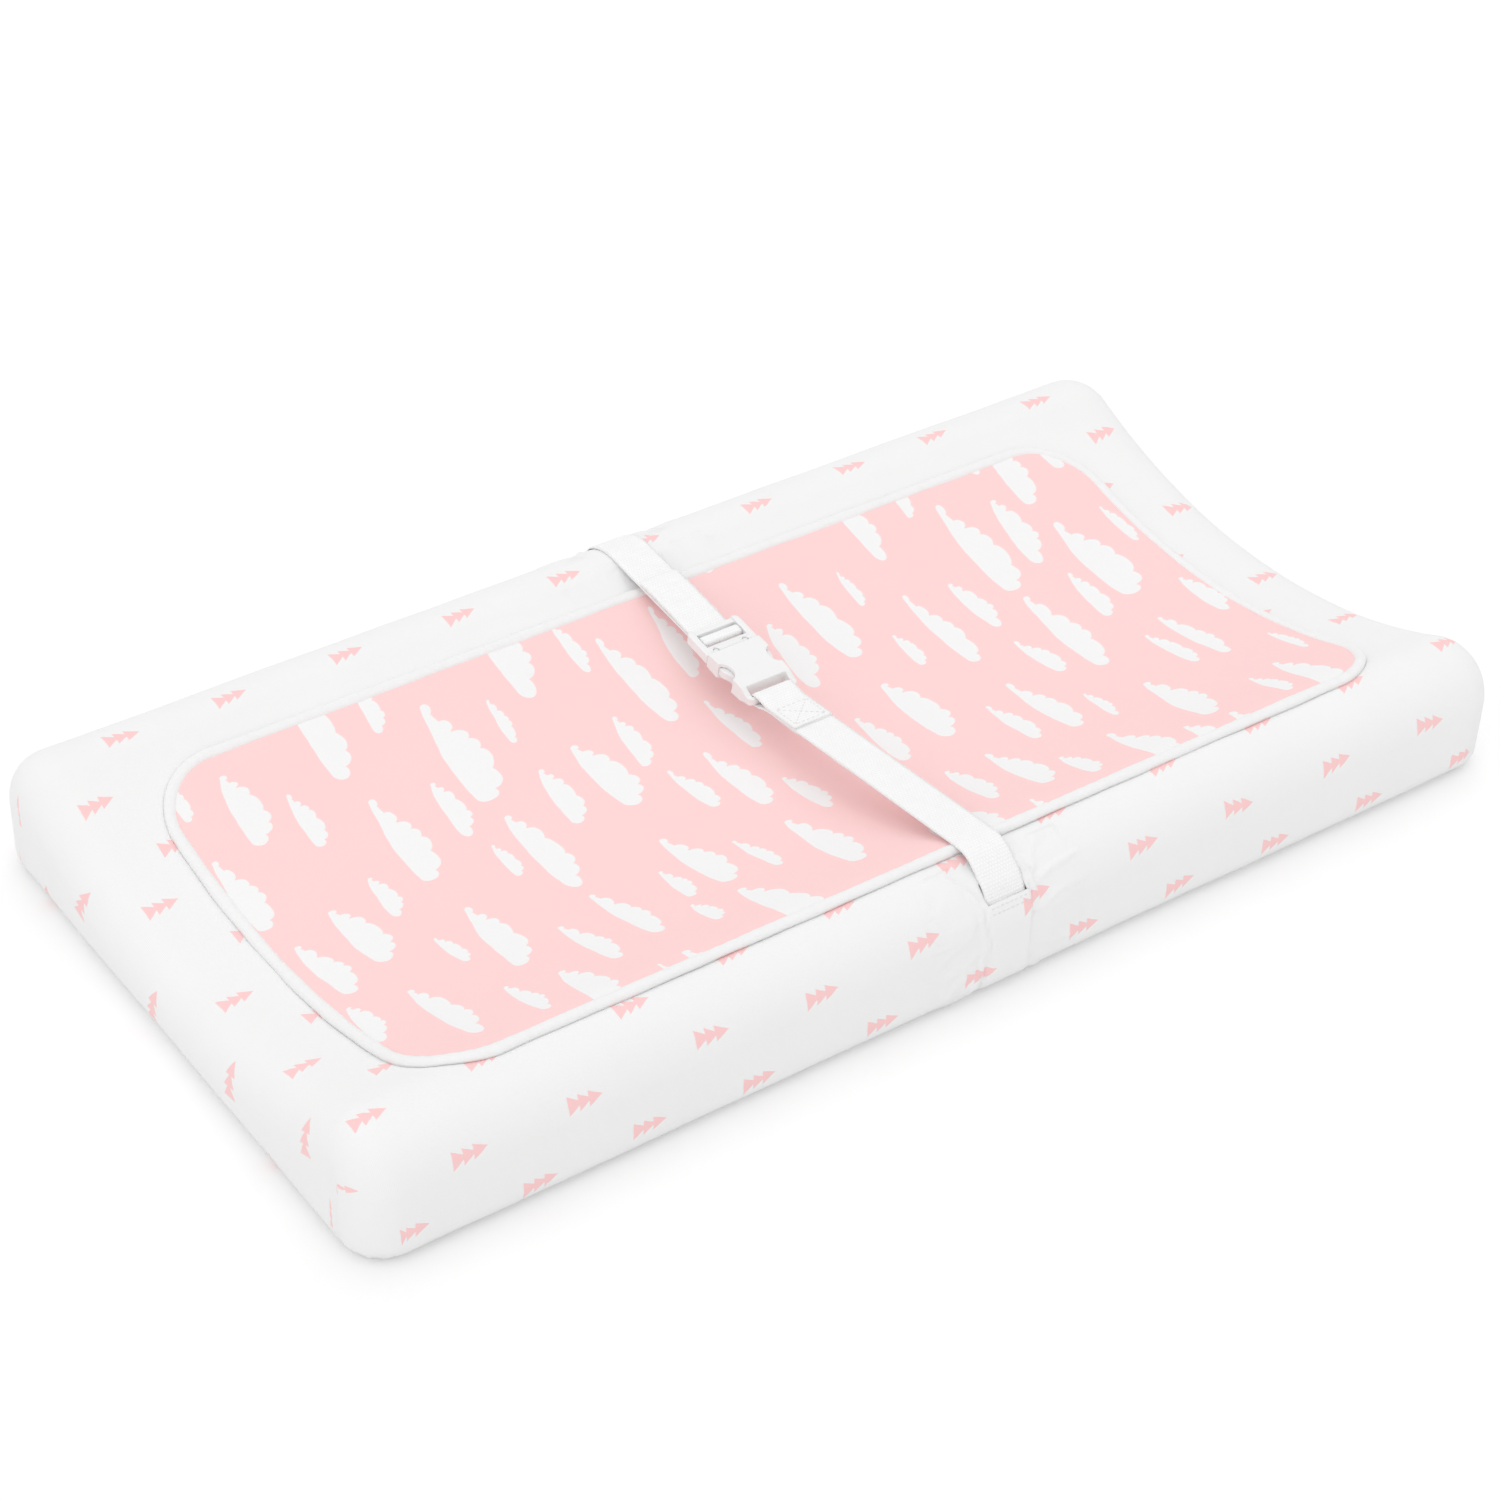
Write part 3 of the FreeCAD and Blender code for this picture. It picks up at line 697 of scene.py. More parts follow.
def settle_by_strap(points, normals, cloth, faces, foot):
    """The cover round the strap, drawn down by it and left to fold: a cloth patch on
    each long side, held where the strap, the liner and the base hold it."""
    off_x = points[:, 0] - strap_x
    long_side = np.abs(normals[:, 1]) > 0.2
    chosen = (np.abs(off_x) < settle_reach) & long_side & (points[:, 2] > 1.0)
    numbers = np.full(len(points), -1)
    numbers[chosen] = np.arange(chosen.sum())
    inside = [tuple(int(numbers[i]) for i in f) for f in faces if all(chosen[i] for i in f)]
    rest = points[chosen]
    n = normals[chosen]
    down = np.abs(cloth[chosen][:, 1]) - foot
    slit_run = -crest_radius * math.radians(slit_angle)
    side = np.sign(rest[:, 1])
    tangent = np.stack([np.zeros(len(n)), side * n[:, 2], -np.abs(n[:, 1])], 1)
    band_share = 1 - smooth(slit_half + 0.5, slit_half + 3.0, np.abs(off_x[chosen]))
    low = slit_run - 1.0
    drawn = band_share * smooth(low - 3, low, down) * (1 - smooth(slit_run + 18, slit_run + 52, down))
    drawn = np.where(down < low, 0.0, drawn)
    start = rest + tangent * (settle_draw * drawn)[:, None]
    held = np.maximum(band_share, smooth(settle_reach - 10, settle_reach - 2, np.abs(off_x[chosen])))
    held = np.maximum(held, 1 - smooth(3, 9, rest[:, 2]))
    held = np.maximum(held, 1 - smooth(crest_y - 26, crest_y - 14, np.abs(rest[:, 1])))
    patch = piece("settling", start, inside)
    group = patch.vertex_groups.new(name="held")
    for i, weight in enumerate(held):
        if weight > 0.001:
            group.add([i], float(weight), "REPLACE")
    patch.shape_key_add(name="shown")
    lengths = patch.shape_key_add(name="rest")
    lengths.data.foreach_set("co", (rest * MM).astype(np.float32).ravel())
    sim = patch.modifiers.new("cloth", "CLOTH")
    for name, value in settle_cloth.items():
        setattr(sim.settings, name, value)
    sim.settings.rest_shape_key = lengths
    sim.settings.effector_weights.gravity = 0.0
    sim.collision_settings.use_collision = False
    sim.point_cache.frame_start = 1
    sim.point_cache.frame_end = settle_frames
    for frame_number in range(1, settle_frames + 1):
        bpy.context.scene.frame_set(frame_number)
    graph = bpy.context.evaluated_depsgraph_get()
    worn = patch.evaluated_get(graph).to_mesh()
    moved = np.empty(len(worn.vertices) * 3, np.float32)
    worn.vertices.foreach_get("co", moved)
    change = moved.reshape(-1, 3) / MM - rest
    bpy.context.scene.frame_set(1)
    bpy.data.objects.remove(patch)
    rise = (change * n).sum(1)
    change += n * (np.clip(rise, -settle_sink, settle_rise) - rise)[:, None]
    out = points.copy()
    out[chosen] = rest + change
    return out


def make_cover(material):
    section = section_stations(2.5, 9.0)
    x_places = spaced_along(-inner_x, inner_x, 8.5, slit_half / 10, strap_x, 43)
    points, normals, cloth, faces, size, bottom = pad_surface(
        0.0, 0.0, x_places, section, 9, 16, 7)
    foot = section[2][-1]
    relief = cover_relief(points, normals, cloth, foot)
    for side in (-1, 1):
        relief += side_folds(cloth, foot, side) * (side * points[:, 1] > 0)
    relief += corner_gathers(points)
    relief *= smooth(0.0, 5.0, points[:, 2]) * 0.9 + 0.1 * (points[:, 2] > 0.5)
    points = points + normals * relief[:, None]
    points[:, 2] = np.maximum(points[:, 2], 0.0)
    kept = [f for f in faces if not in_slit(points[list(f)].mean(0), normals[list(f)].mean(0))]
    points = settle_by_strap(points, normals, cloth, kept, foot)
    # turned-under edge, drawn in towards the opening and gathered
    rim = [index for index, m in bottom]
    directions = np.array([m for index, m in bottom])
    start = points[rim]
    opening = np.array([plan_opening(x, y) for x, y, z in start])
    run = np.concatenate([[0], np.cumsum(np.linalg.norm(np.diff(start[:, :2], axis=0), axis=1))])
    gather = np.sin(run * 2 * math.pi / 17.0 + 1.7 * np.sin(run / 41.0))
    count = len(rim)
    hem_rows = 10
    previous = rim
    points_list, cloth_list = [points], [cloth]
    for k in range(1, hem_rows + 1):
        share = k / hem_rows
        layer = start * (1 - share) + opening * share
        layer[:, 2] = 0.05 + (0.5 + 0.5 * gather) * 1.1 * share ** 1.5
        inward = np.linalg.norm(layer[:, :2] - start[:, :2], axis=1)
        current = [len(points) + (k - 1) * count + j for j in range(count)]
        kept.extend((previous[j], current[j], current[(j + 1) % count], previous[(j + 1) % count])
                    for j in range(count))
        points_list.append(layer)
        cloth_list.append(cloth[rim] + directions * inward[:, None])
        previous = current
    cover = piece("cover_cloth", np.concatenate(points_list), kept, material, np.concatenate(cloth_list))
    thick = cover.modifiers.new("thickness", "SOLIDIFY")
    thick.thickness = 0.9 * MM
    thick.offset = -1.0
    apply_modifiers(cover)
    return cover


def in_slit(middle, n):
    """Whether a face of the cover lies where one of the two slits is open."""
    rise = math.degrees(math.atan2(n[2], abs(n[1])))
    outward = n[1] * middle[1] > 0
    return abs(middle[0] - strap_x) < slit_half and outward and slit_angle + 0.6 < rise < emerge_angle


def plan_opening(x, y):
    """Where a rim point of the cover ends at the edge of the opening underneath."""
    half_a = half_x - base_radius - hem_width + casing_width
    half_b = half_y - base_radius - hem_width + casing_width
    share_x = x / (half_x - base_radius)
    share_y = y / (half_y - base_radius)
    px, py = share_x * half_a, share_y * half_b
    ax, ay = half_a - hem_corner, half_b - hem_corner
    dx, dy = abs(px) - ax, abs(py) - ay
    length = math.hypot(dx, dy)
    if dx > 0 and dy > 0 and length > hem_corner:
        px = math.copysign(ax + dx * hem_corner / length, px)
        py = math.copysign(ay + dy * hem_corner / length, py)
    return px, py, 0.0


def make_casing(material):
    """Gathered casing with the elastic in it, round the opening underneath."""
    half_a = half_x - base_radius - hem_width + casing_width / 2
    half_b = half_y - base_radius - hem_width + casing_width / 2
    rings, around = 900, 14
    loop = rounded_loop(half_a, half_b, hem_corner - casing_width / 2, rings)
    turn_long = 2 * math.pi
    points, cloth = [], []
    for i, (x, y, mx, my) in enumerate(loop):
        s = 4 * (half_a + half_b) * i / rings
        wide = casing_width / 2 + 0.35 * math.sin(turn_long * s / 11.0) + 0.2 * math.sin(turn_long * s / 7.3)
        swell = 1 + 0.10 * math.sin(turn_long * s / 5.1 + 0.8 * math.sin(s / 23))
        tall = (casing_height - 0.2) / 2 * swell
        for j in range(around):
            turn = turn_long * j / around
            off = wide * abs(math.cos(turn)) ** 0.7 * math.copysign(1, math.cos(turn))
            points.append((x + mx * off, y + my * off, 1.35 + tall * math.sin(turn)))
            cloth.append((s, casing_width * j / around * 2))
    points = np.array(points)
    points[:, 2] = np.clip(points[:, 2], 0.0, casing_height)
    faces = [(a, d, c, b) for a, b, c, d in tube_faces(rings, around, closed=True)]
    return piece("hem_casing", points, faces, material, cloth)


def make_pad_body(material):
    """Wipe-clean shell over the foam: crowned form closed under the cover."""
    section = section_stations(5.0, 12.0)
    x_places = np.linspace(-inner_x, inner_x, 60)
    points, normals, cloth, faces, size, bottom = pad_surface(
        shell_depth + 0.3, body_floor, x_places, section, 7, 8, 5)
    rim = [index for index, m in bottom]
    count = len(rim)
    ring = [len(points) + j for j in range(count)]
    points = np.concatenate([points, points[rim] * np.array([0.96, 0.96, 1.0])])
    cloth = np.concatenate([cloth, cloth[rim]])
    faces.extend((rim[j], ring[j], ring[(j + 1) % count], rim[(j + 1) % count]) for j in range(count))
    faces.extend(closed_base(ring, *size))
    return piece("pad_body", points, faces, material, cloth)


def closed_base(ring, row_count, across):
    """Faces between the near and far edges of the base ring."""
    near = ring[:row_count]
    right = ring[row_count:row_count + across - 2]
    far = ring[row_count + across - 2:2 * row_count + across - 2][::-1]
    left = ring[2 * row_count + across - 2:]
    faces = [(near[i], far[i], far[i + 1], near[i + 1]) for i in range(row_count - 1)]
    faces.append(tuple([near[-1]] + right + [far[-1]]))
    faces.append(tuple([far[0]] + left + [near[0]]))
    return faces


# Liner
liner_half_x = 347.0
liner_near = -178.0
liner_far = 150.0
liner_corner = 48.0
liner_gap = 0.3
binding_top = 4.3
binding_width = 8.0


def liner_rows():
    """Places across the liner, closer together round its corners."""
    middle = (liner_near + liner_far) / 2
    half = (liner_far - liner_near) / 2
    corner = liner_corner
    arcs = [half - corner + corner * math.sin(quarter * i / 14) for i in range(15)]
    inside = np.linspace(-(half - corner), half - corner, 49)[1:-1]
    return middle, half, np.array([-a for a in arcs[::-1]] + list(inside) + arcs)


def liner_reach(off, half):
    """Half length of the liner at a distance off its middle line."""
    over = np.maximum(np.abs(off) - (half - liner_corner), 0.0)
    return liner_half_x - liner_corner + np.sqrt(np.maximum(liner_corner ** 2 - over ** 2, 0.0))


def section_frame(y):
    """Point and outward direction of the cover's section at y."""
    z = surface_height(y)
    if abs(y) > crest_y - crest_radius * math.sin(valley_lean):
        side = math.copysign(1, y)
        n = np.array([y - side * crest_y, z - crest_z]) / crest_radius
    else:
        n = np.array([-y, valley_height + valley_radius - z]) / valley_radius
    return np.array([y, z]), n


def section_run(y):
    """Length along the section from the middle to y."""
    joint_y = crest_y - crest_radius * math.sin(valley_lean)
    inner = valley_radius * math.asin(min(abs(y), joint_y) / valley_radius)
    if abs(y) > joint_y:
        lean = math.asin(max(-1.0, min(1.0, (crest_y - abs(y)) / crest_radius)))
        inner += crest_radius * (valley_lean - lean)
    return math.copysign(inner, y)


def liner_waves(x, y):
    """Slow unevenness of the lying liner."""
    place = [(a, b, 0.0) for a, b in zip(x, y)]
    return 0.45 * ripple(place, 70.0, 5) + 0.25 * ripple(place, 26.0, 6)


def make_liner(material):
    middle, half, offs = liner_rows()
    inset = binding_width * 0.55
    scale = (half - inset) / half
    columns = 150
    tops = []
    for off in offs * scale:
        reach = float(liner_reach(abs(off), half)) - inset
        y = middle + off
        (sy, sz), n = section_frame(y)
        run = section_run(y)
        for i in range(columns + 1):
            x = reach * (2 * i / columns - 1)
            from_edge = min(half - inset - abs(off), reach - abs(x))
            tops.append((x, sy, sz, n[0], n[1], from_edge, run))
    tops = np.array(tops)
    x, y, z, ny, nz, from_edge, run = tops.T
    puff = smooth(0.0, 16.0, from_edge)
    wave_height = liner_waves(x, y) * puff
    under_strap = 1 - smooth(10, 46, np.abs(x - strap_x))
    upper = 3.1 + 1.1 * puff + wave_height * (1 - 0.5 * under_strap)
    lower = np.full(len(x), 0.75)
    across = len(offs)
    wide = columns + 1
    top_points = np.stack([x, y + ny * upper, z + nz * upper], 1)
    low_points = np.stack([x, y + ny * lower, z + nz * lower], 1)
    points = np.concatenate([top_points, low_points])
    cloth = np.concatenate([np.stack([x, run], 1)] * 2)
    faces = [(j * wide + i, j * wide + i + 1, (j + 1) * wide + i + 1, (j + 1) * wide + i)
             for j in range(across - 1) for i in range(wide - 1)]
    shift = len(top_points)
    faces += [(a + shift, d + shift, c + shift, b + shift) for a, b, c, d in faces]
    rim = list(range(wide))
    rim += [j * wide + wide - 1 for j in range(1, across)]
    rim += [(across - 1) * wide + i for i in range(wide - 2, -1, -1)]
    rim += [j * wide for j in range(across - 2, 0, -1)]
    count = len(rim)
    faces += [(rim[i], rim[i] + shift, rim[(i + 1) % count] + shift, rim[(i + 1) % count])
              for i in range(count)]
    return piece("liner_quilt", points, faces, material, cloth)


def make_binding(material):
    """Folded tape round the liner: a soft flat bead with small puckers."""
    middle = (liner_near + liner_far) / 2
    half = (liner_far - liner_near) / 2
    count = 1300
    half_w = binding_width / 2
    loop = rounded_loop(liner_half_x - half_w, half - half_w, liner_corner - half_w, count)
    around = 16
    length = 4 * (liner_half_x + half)
    low = liner_gap + 0.05
    tall = binding_top - low
    points, cloth = [], []
    for i in range(count):
        x, y, mx, my = loop[i]
        y += middle
        s = length * i / count
        (sy, sz), n = section_frame(max(-half_y + 1, min(half_y - 1, y)))
        pucker = 0.16 * math.sin(2 * math.pi * s / 9.0 + 1.4 * math.sin(s / 31.0)) * math.sin(s / 57.0)
        wide = half_w * (1 + 0.05 * math.sin(s / 19.0) + 0.04 * math.sin(s / 7.0))
        slow = 0.35 * noise.noise(Vector((s / 60.0, 3.0, 0.0)))
        tangent = np.array([n[1], -n[0]])
        for j in range(around):
            turn = 2 * math.pi * j / around
            c, r = math.cos(turn), math.sin(turn)
            off = wide * abs(c) ** 0.85 * math.copysign(1, c)
            up = low
            if r > 0:
                up += (tall + pucker + slow) * r ** 0.75
            py, pz = np.array([sy, sz]) + tangent * (my * off) + n * up
            points.append((x + mx * off, py, pz))
            cloth.append((s, wide * 4 * j / around))
    return piece("liner_edge", points, tube_faces(count, around, closed=True), material, cloth)


# Strap routes are worked out in the upright plane across the pad, as in the solids
binding_total = 4.3
climb_angle, climbed_angle = 62.0, 84.0
under_middle = cover_thickness + 0.4 - web_gap - web_thickness / 2
over_middle = -web_gap - web_thickness / 2
over_liner = over_middle - binding_total
buckle_place = np.array([62.0, 72.0])
buckle_tilt = math.radians(8.0)
along = np.array([math.cos(buckle_tilt), math.sin(buckle_tilt)])
upward = np.array([-math.sin(buckle_tilt), math.cos(buckle_tilt)])
socket_length = 45.5
end_bar_radius = 2.5
plug_length = 24.0
ladder_bar = 4.0
ladder_slot = 4.6
ladder_bar_thickness = 3.2
sewn_loop_taper = 16.0
sewn_loop_lap = 26.0
tail_length = 56.0
strap_foot = 3.0


def buckle_point(u, w):
    return buckle_place + along * u + upward * w


def crest_route(side, leave, over_edge):
    """Middle line from the sewn foot up under the cover and over the crest."""
    centre = np.array([side * crest_y, crest_z])
    under = crest_radius - under_middle
    over = crest_radius - over_middle

    def spoke(r, degrees):
        angle = math.radians(degrees)
        return centre + r * np.array([side * math.cos(angle), math.sin(angle)])

    route = [np.array([side * (half_y - under_middle), base_radius + strap_foot])]
    for degrees in np.arange(0, slit_angle + 0.1, 3.5):
        route.append(spoke(under, degrees))
    for degrees in np.arange(slit_angle + 2, leave, 2.0):
        climb = float(smooth(slit_angle, emerge_angle, degrees))
        edge = float(smooth(climb_angle - 8, climbed_angle + 1, degrees))
        route.append(spoke(under + (over - under) * climb + over_edge * edge, degrees))
    route.append(spoke(over + over_edge, leave))
    return route


def touch_angle(point, centre, radius, side):
    to = point - centre
    base = math.atan2(to[1], to[0])
    swing = math.acos(radius / math.hypot(*to))
    return base + swing if side < 0 else base - swing


def smooth_route(route, step, turns=2):
    """The route with its corners rounded and its points evenly spaced."""
    points = np.array(route)
    for _ in range(turns):
        first = points[:-1] * 0.75 + points[1:] * 0.25
        second = points[:-1] * 0.25 + points[1:] * 0.75
        middle = np.empty((2 * len(first), 2))
        middle[0::2], middle[1::2] = first, second
        points = np.concatenate([points[:1], middle, points[-1:]])
    lengths = np.linalg.norm(np.diff(points, axis=0), axis=1)
    run = np.concatenate([[0], np.cumsum(lengths)])
    places = np.linspace(0, run[-1], max(2, round(run[-1] / step)) + 1)
    return np.stack([np.interp(places, run, points[:, k]) for k in (0, 1)], 1), places


def band(name, route, material, step=0.8, relief=None):
    """Flat webbing along a route in the plane across the pad, with rounded selvedges."""
    line, places = smooth_route(route, step)
    way = np.gradient(line, axis=0)
    way /= np.linalg.norm(way, axis=1)[:, None]
    normal = np.stack([-way[:, 1], way[:, 0]], 1)
    across = 15
    offs = [-web_width / 2 + web_width * i / (across - 1) for i in range(across)]
    top = [(off, web_thickness / 2 * (1.0 if 0 < i < across - 1 else 0.55)) for i, off in enumerate(offs)]
    ring = top + [(off, -up) for off, up in reversed(top)]
    points, cloth = [], []
    for p, n, s in zip(line, normal, places):
        for off, up in ring:
            lift = relief(s, off, places[-1]) if relief else 0.0
            y, z = p + n * (up + lift)
            points.append((strap_x + off, y, z))
            cloth.append((s, off))
    around = len(ring)
    faces = tube_faces(len(line), around)
    faces.append(tuple(range(around)))
    faces.append(tuple(reversed(range(len(points) - around, len(points)))))
    return piece(name, points, faces, material, cloth)


def near_strap_routes():
    half = web_thickness / 2
    end_bar_u = -(socket_length - end_bar_radius)
    bar = buckle_point(end_bar_u, 0)
    centre = np.array([-crest_y, crest_z])
    over = crest_radius - over_liner
    angle = touch_angle(bar, centre, over + half, -1)
    touch = centre + (over + half) * np.array([math.cos(angle), math.sin(angle)])
    way = (touch - bar) / np.linalg.norm(touch - bar)
    n = np.array([way[1], -way[0]])
    if n[1] < 0:
        n = -n
    main = crest_route(-1, 180 - math.degrees(angle), binding_total)
    loop = end_bar_radius + web_gap + half
    main += [bar + way * (sewn_loop_taper + 4) - n * half,
             bar + way * sewn_loop_taper * 0.7 - n * half * 1.6,
             bar + way * 5 - n * loop * 0.85]
    away = math.atan2(-way[1], -way[0])
    turns = [away + quarter - math.pi * k / 10 for k in range(11)]
    arc = [bar + loop * np.array([math.cos(turn), math.sin(turn)]) for turn in turns]
    main += arc[::-1] if (arc[0] - bar) @ n > 0 else arc
    main += [bar + way * 5 + n * loop * 0.85,
             bar + way * sewn_loop_taper * 0.7 + n * half * 1.6,
             bar + way * sewn_loop_taper + n * half * 1.05,
             bar + way * (sewn_loop_taper + sewn_loop_lap) + n * half * 1.05]
    return main, bar, way, n


def far_strap_route():
    half = web_thickness / 2
    pitch = web_thickness + web_gap
    tail_w = -(ladder_bar_thickness / 2 + web_gap + half)
    load_w = tail_w - pitch
    top_w = ladder_bar_thickness / 2 + web_gap + half
    centre_u = plug_length - ladder_bar - ladder_slot - ladder_bar / 2
    inner_u = centre_u - ladder_bar / 2 - web_gap - half
    outer_u = centre_u + ladder_bar / 2 + web_gap + half
    centre = np.array([crest_y, crest_z])
    over = crest_radius - over_middle
    turn_in = buckle_point(plug_length + pitch, load_w)
    angle = touch_angle(turn_in, centre, over, 1)
    touch = centre + over * np.array([math.cos(angle), math.sin(angle)])
    route = crest_route(1, math.degrees(angle), 0.0)
    for share in (0.25, 0.5, 0.75, 0.93):
        route.append(touch + (turn_in - touch) * share)
    route += [turn_in, buckle_point(inner_u + 2, load_w), buckle_point(inner_u, load_w + 0.6),
              buckle_point(inner_u, top_w - 0.5), buckle_point(inner_u + 0.8, top_w),
              buckle_point(outer_u - 0.8, top_w), buckle_point(outer_u, top_w - 0.5),
              buckle_point(outer_u, tail_w + 0.5), buckle_point(outer_u + 1.5, tail_w)]
    toward = (touch - turn_in) / np.linalg.norm(touch - turn_in)
    rise = np.array([-toward[1], toward[0]])
    start = turn_in + rise * pitch
    route.append(start)
    for share in (0.25, 0.5, 0.75, 1.0):
        sway = 0.9 * math.sin(math.pi * share) + 0.6 * share
        route.append(start + toward * tail_length * share + rise * sway)
    return route


def far_creases(s, off, total):
    """Crinkles across the webbing's free end, and the fold sewn down at its tip."""
    back = total - s
    if back > tail_length:
        return 0.0
    shown = float(smooth(0, 4, back) * (1 - smooth(tail_length - 14, tail_length - 4, back)))
    ripple_one = 0.20 * math.sin(back * 1.05 + 0.5 * math.sin(off * 0.25)) * math.sin(back / 8.0)
    sewn = -0.35 * (math.exp(-((back - 22) / 1.0) ** 2) + math.exp(-((back - 26.5) / 1.0) ** 2))
    return shown * (ripple_one + sewn)


def stitches(name, places, material, length=2.6, radius=0.28):
    """Short thread lengths lying on the webbing; places are (centre, direction, up)."""
    points, faces = [], []
    rings, around = 5, 6
    for centre, way, up in places:
        way = np.asarray(way, float) / np.linalg.norm(way)
        up = np.asarray(up, float) / np.linalg.norm(up)
        side = np.cross(way, up)
        base = len(points)
        for i in range(rings):
            t = 2 * i / (rings - 1) - 1
            r = radius * math.sqrt(max(0.05, 1 - t ** 4))
            sink = -radius * 0.9 * t ** 4
            for j in range(around):
                turn = 2 * math.pi * j / around
                points.append(np.asarray(centre) + way * (length / 2 * t) + side * r * math.cos(turn)
                              + up * (r * math.sin(turn) + sink))
        faces += tube_faces(rings, around, base=base)
        faces.append(tuple(base + j for j in reversed(range(around))))
        faces.append(tuple(base + (rings - 1) * around + j for j in range(around)))
    return piece(name, points, faces, material)


def box_stitch_places(bar, way, n):
    """Boxed cross of stitches over the lapped part of the near webbing."""
    start, end = sewn_loop_taper + 3, sewn_loop_taper + sewn_loop_lap - 3
    half = web_width / 2 - 3
    corners = [(start, -half), (end, -half), (end, half), (start, half)]
    runs = [(corners[i], corners[(i + 1) % 4]) for i in range(4)]
    runs += [(corners[0], corners[2]), (corners[1], corners[3])]
    places = []
    up = np.array([0.0, n[0], n[1]])
    along3 = np.array([0.0, way[0], way[1]])
    across3 = np.array([1.0, 0.0, 0.0])
    for (a0, b0), (a1, b1) in runs:
        length = math.hypot(a1 - a0, b1 - b0)
        count = max(2, round(length / 3.4))
        direction = along3 * (a1 - a0) + across3 * (b1 - b0)
        for k in range(count):
            t = (k + 0.5) / count
            a, b = a0 + (a1 - a0) * t, b0 + (b1 - b0) * t
            yz = bar + way * a + n * (web_thickness * 1.02 + 0.12)
            places.append((np.array([strap_x + b, yz[0], yz[1]]), direction, up))
    return places


def slit_stitch_places(side):
    """Two rows of stitches through cover and webbing, just below a slit."""
    places = []
    for row in (2.2, 5.6):
        lean = math.radians(slit_angle) - (row + settle_draw) / crest_radius
        n = np.array([0.0, side * math.cos(lean), math.sin(lean)])
        centre = np.array([0.0, side * crest_y, crest_z]) + n * (crest_radius + strap_lift + 0.3)
        for k in range(8):
            off = (k - 3.5) * 3.3
            places.append((centre + np.array([strap_x + off, 0, 0]), (1.0, 0.0, 0.0), n))
    return places


def soft_plastic(node, material, voxel):
    """Moulded form of a CAD solid: the same shape with its edges rounded."""
    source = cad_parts[node]
    obj = placed(node + "_moulded", source.data.copy())
    obj.data.materials.clear()
    obj.data.materials.append(material)
    remesh = obj.modifiers.new("skin", "REMESH")
    remesh.mode = "VOXEL"
    remesh.voxel_size = voxel * MM
    remesh.adaptivity = 0.0
    relax = obj.modifiers.new("edges", "SMOOTH")
    relax.factor = 0.5
    relax.iterations = 3
    apply_modifiers(obj)
    obj.data.polygons.foreach_set("use_smooth", [True] * len(obj.data.polygons))
    return obj


# Build the pieces
cover = make_cover(jersey("jersey_print"))
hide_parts("fitted_cover", "cover_hem")
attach(cover, "pad")

casing = make_casing(jersey("jersey_plain", motif=False))
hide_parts("hem_elastic")
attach(casing, "pad")

body = make_pad_body(vinyl())
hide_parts("foam_core", "pad_shell")
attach(body, "pad")

liner = make_liner(printed_liner())
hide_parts("liner_backing", "liner_batting", "liner_top")
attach(liner, "pad")

binding = make_binding(tape())
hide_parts("liner_binding")
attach(binding, "pad")

web_material = webbing()
near_route, bar, strap_way, strap_up = near_strap_routes()
near_web = band("webbing_near", near_route, web_material)
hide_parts("strap_near")
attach(near_web, "pad")

thread_material = thread()
for name, places in (("webbing_stitch", box_stitch_places(bar, strap_way, strap_up)),
                     ("slit_stitch_near", slit_stitch_places(-1)),
                     ("slit_stitch_far", slit_stitch_places(1))):
    sewn = stitches(name, places, thread_material)
    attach(sewn, "pad")

far_web = band("webbing_far", far_strap_route(), web_material, step=0.6, relief=far_creases)
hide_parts("strap_far")
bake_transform(far_web)

plastic = white_plastic()
for node, owner in (("buckle_socket", "pad"), ("buckle_plug", "plug"),
                    ("prong_left", "left_prong"), ("prong_right", "right_prong")):
    moulding = soft_plastic(node, plastic, 0.35)
    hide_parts(node)
    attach(moulding, owner)

base_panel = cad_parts["base_panel"]
base_panel.data.materials.clear()
base_panel.data.materials.append(dotted_base())

# Cut sizes of the cloths: the run over the form, and part of the turned-under hem
wall_run = crest_z + base_radius
across_cut = 2 * (section_run(half_y - 0.01) + wall_run + 0.6 * hem_width)
liner_across = section_run(liner_far) - section_run(liner_near)


# Floor, light and camera
def shown_share(tree):
    """1 for rays that show a surface to the camera, directly, mirrored or through glass."""
    rays = tree.nodes.new("ShaderNodeLightPath").outputs
    return largest([Number(rays["Is " + kind + " Ray"]) for kind in ("Camera", "Glossy", "Transmission")])


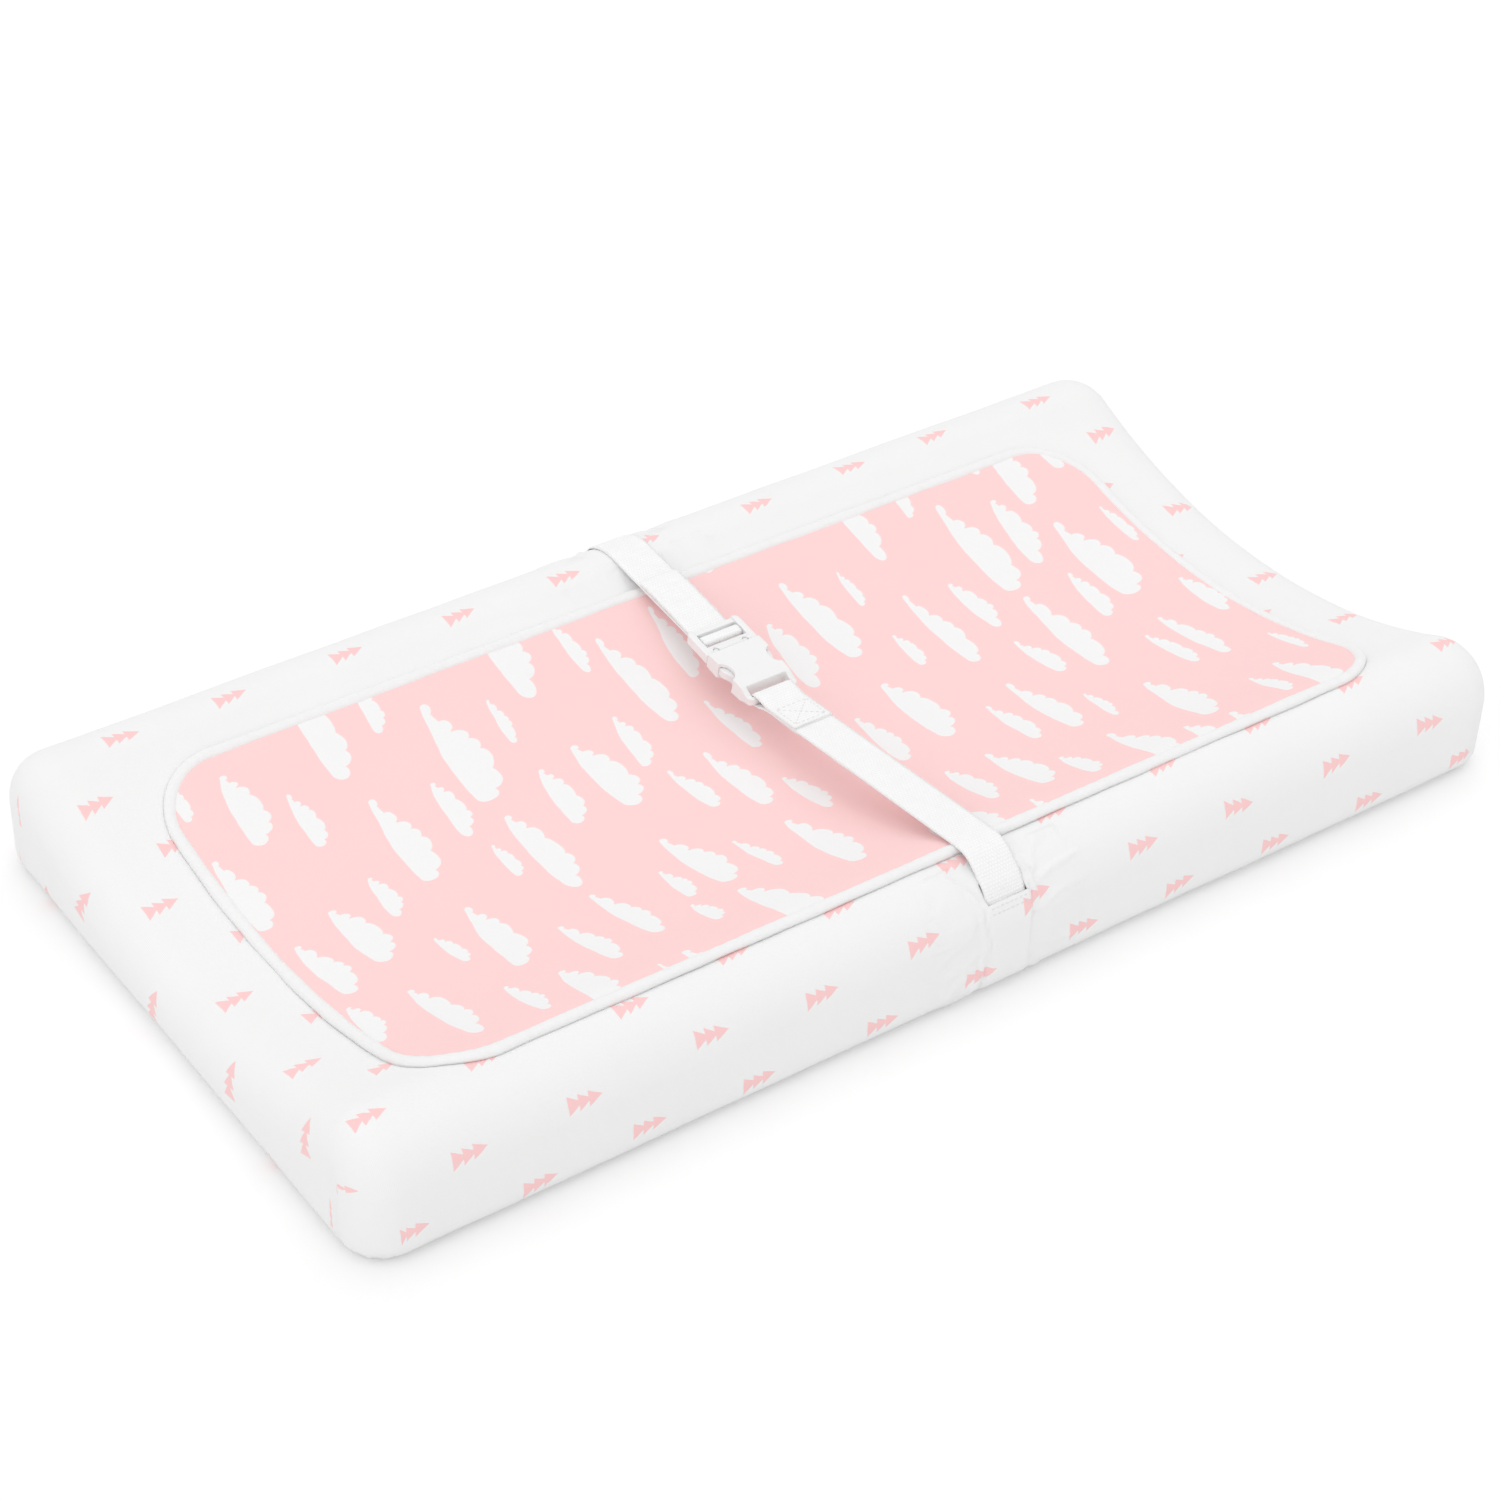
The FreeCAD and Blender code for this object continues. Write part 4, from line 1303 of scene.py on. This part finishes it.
floor_half = 6.0
floor_glow = 0.13
sky_level = 0.74
floor_material, tree, shader = new_material("floor")
floor_mesh = bpy.data.meshes.new("floor")
floor_corners = [(floor_half * x, floor_half * y, 0) for x, y in ((-1, -1), (1, -1), (1, 1), (-1, 1))]
floor_mesh.from_pydata(floor_corners, [], [(0, 1, 2, 3)])
floor = placed("floor", floor_mesh, floor_material)
floor.location = (0, 0, -0.0003)
for name, value in (("Base Color", grey(0.88)), ("Roughness", 0.9), ("Specular IOR Level", 0.0)):
    feed(shader.inputs[name], value)
glow = tree.nodes.new("ShaderNodeEmission")
feed(glow.inputs["Strength"], shown_share(tree) * floor_glow)
both = tree.nodes.new("ShaderNodeAddShader")
feed(both.inputs[0], shader.outputs[0])
feed(both.inputs[1], glow.outputs[0])
feed(tree.nodes["Material Output"].inputs["Surface"], both.outputs[0])

world = bpy.data.worlds.new("studio")
bpy.context.scene.world = world
world.use_nodes = True
sky = world.node_tree.nodes["Background"]
feed(sky.inputs["Color"], grey(1))
feed(sky.inputs["Strength"], shown_share(world.node_tree) * (1.0 - sky_level) + sky_level)

for name, energy, spread, way in (("key", 0.50, 60, (-0.42, -0.42, -1.0)),
                                  ("fill", 0.80, 120, (0.70, 0.55, -0.62))):
    lamp_data = bpy.data.lights.new(name, "SUN")
    lamp_data.energy = energy
    lamp_data.angle = math.radians(spread)
    lamp = placed(name, lamp_data)
    lamp.rotation_mode = "QUATERNION"
    lamp.rotation_quaternion = Vector(way).to_track_quat("-Z", "Y")

# Camera, placed by matching the pad's outline in the photograph
photo_size = 1500.0
sensor_width = 36.0
azimuth, elevation, roll = math.radians(-37.04), math.radians(37.15), math.radians(2.44)
distance = 2.150
focal_pixels = 3570.0
shift_pixels = (19.02, -10.79)
looked_at = Vector((0, 0, 0.05))
back = Vector((math.sin(azimuth) * math.cos(elevation), -math.cos(azimuth) * math.cos(elevation),
               math.sin(elevation)))
right = Vector((math.cos(azimuth), math.sin(azimuth), 0))
up = back.cross(right)
camera_right = right * math.cos(roll) + up * math.sin(roll)
camera_up = up * math.cos(roll) - right * math.sin(roll)
camera_data = bpy.data.cameras.new("camera")
camera_data.sensor_width = sensor_width
camera_data.lens = focal_pixels / photo_size * sensor_width
camera_data.shift_x = -shift_pixels[0] / photo_size
camera_data.shift_y = shift_pixels[1] / photo_size
camera = placed("camera", camera_data)
place = looked_at + back * distance
rows = [(camera_right[i], camera_up[i], back[i], place[i]) for i in range(3)]
camera.matrix_world = Matrix([*rows, (0, 0, 0, 1)])
bpy.context.scene.camera = camera
bpy.context.scene.view_settings.view_transform = "Standard"
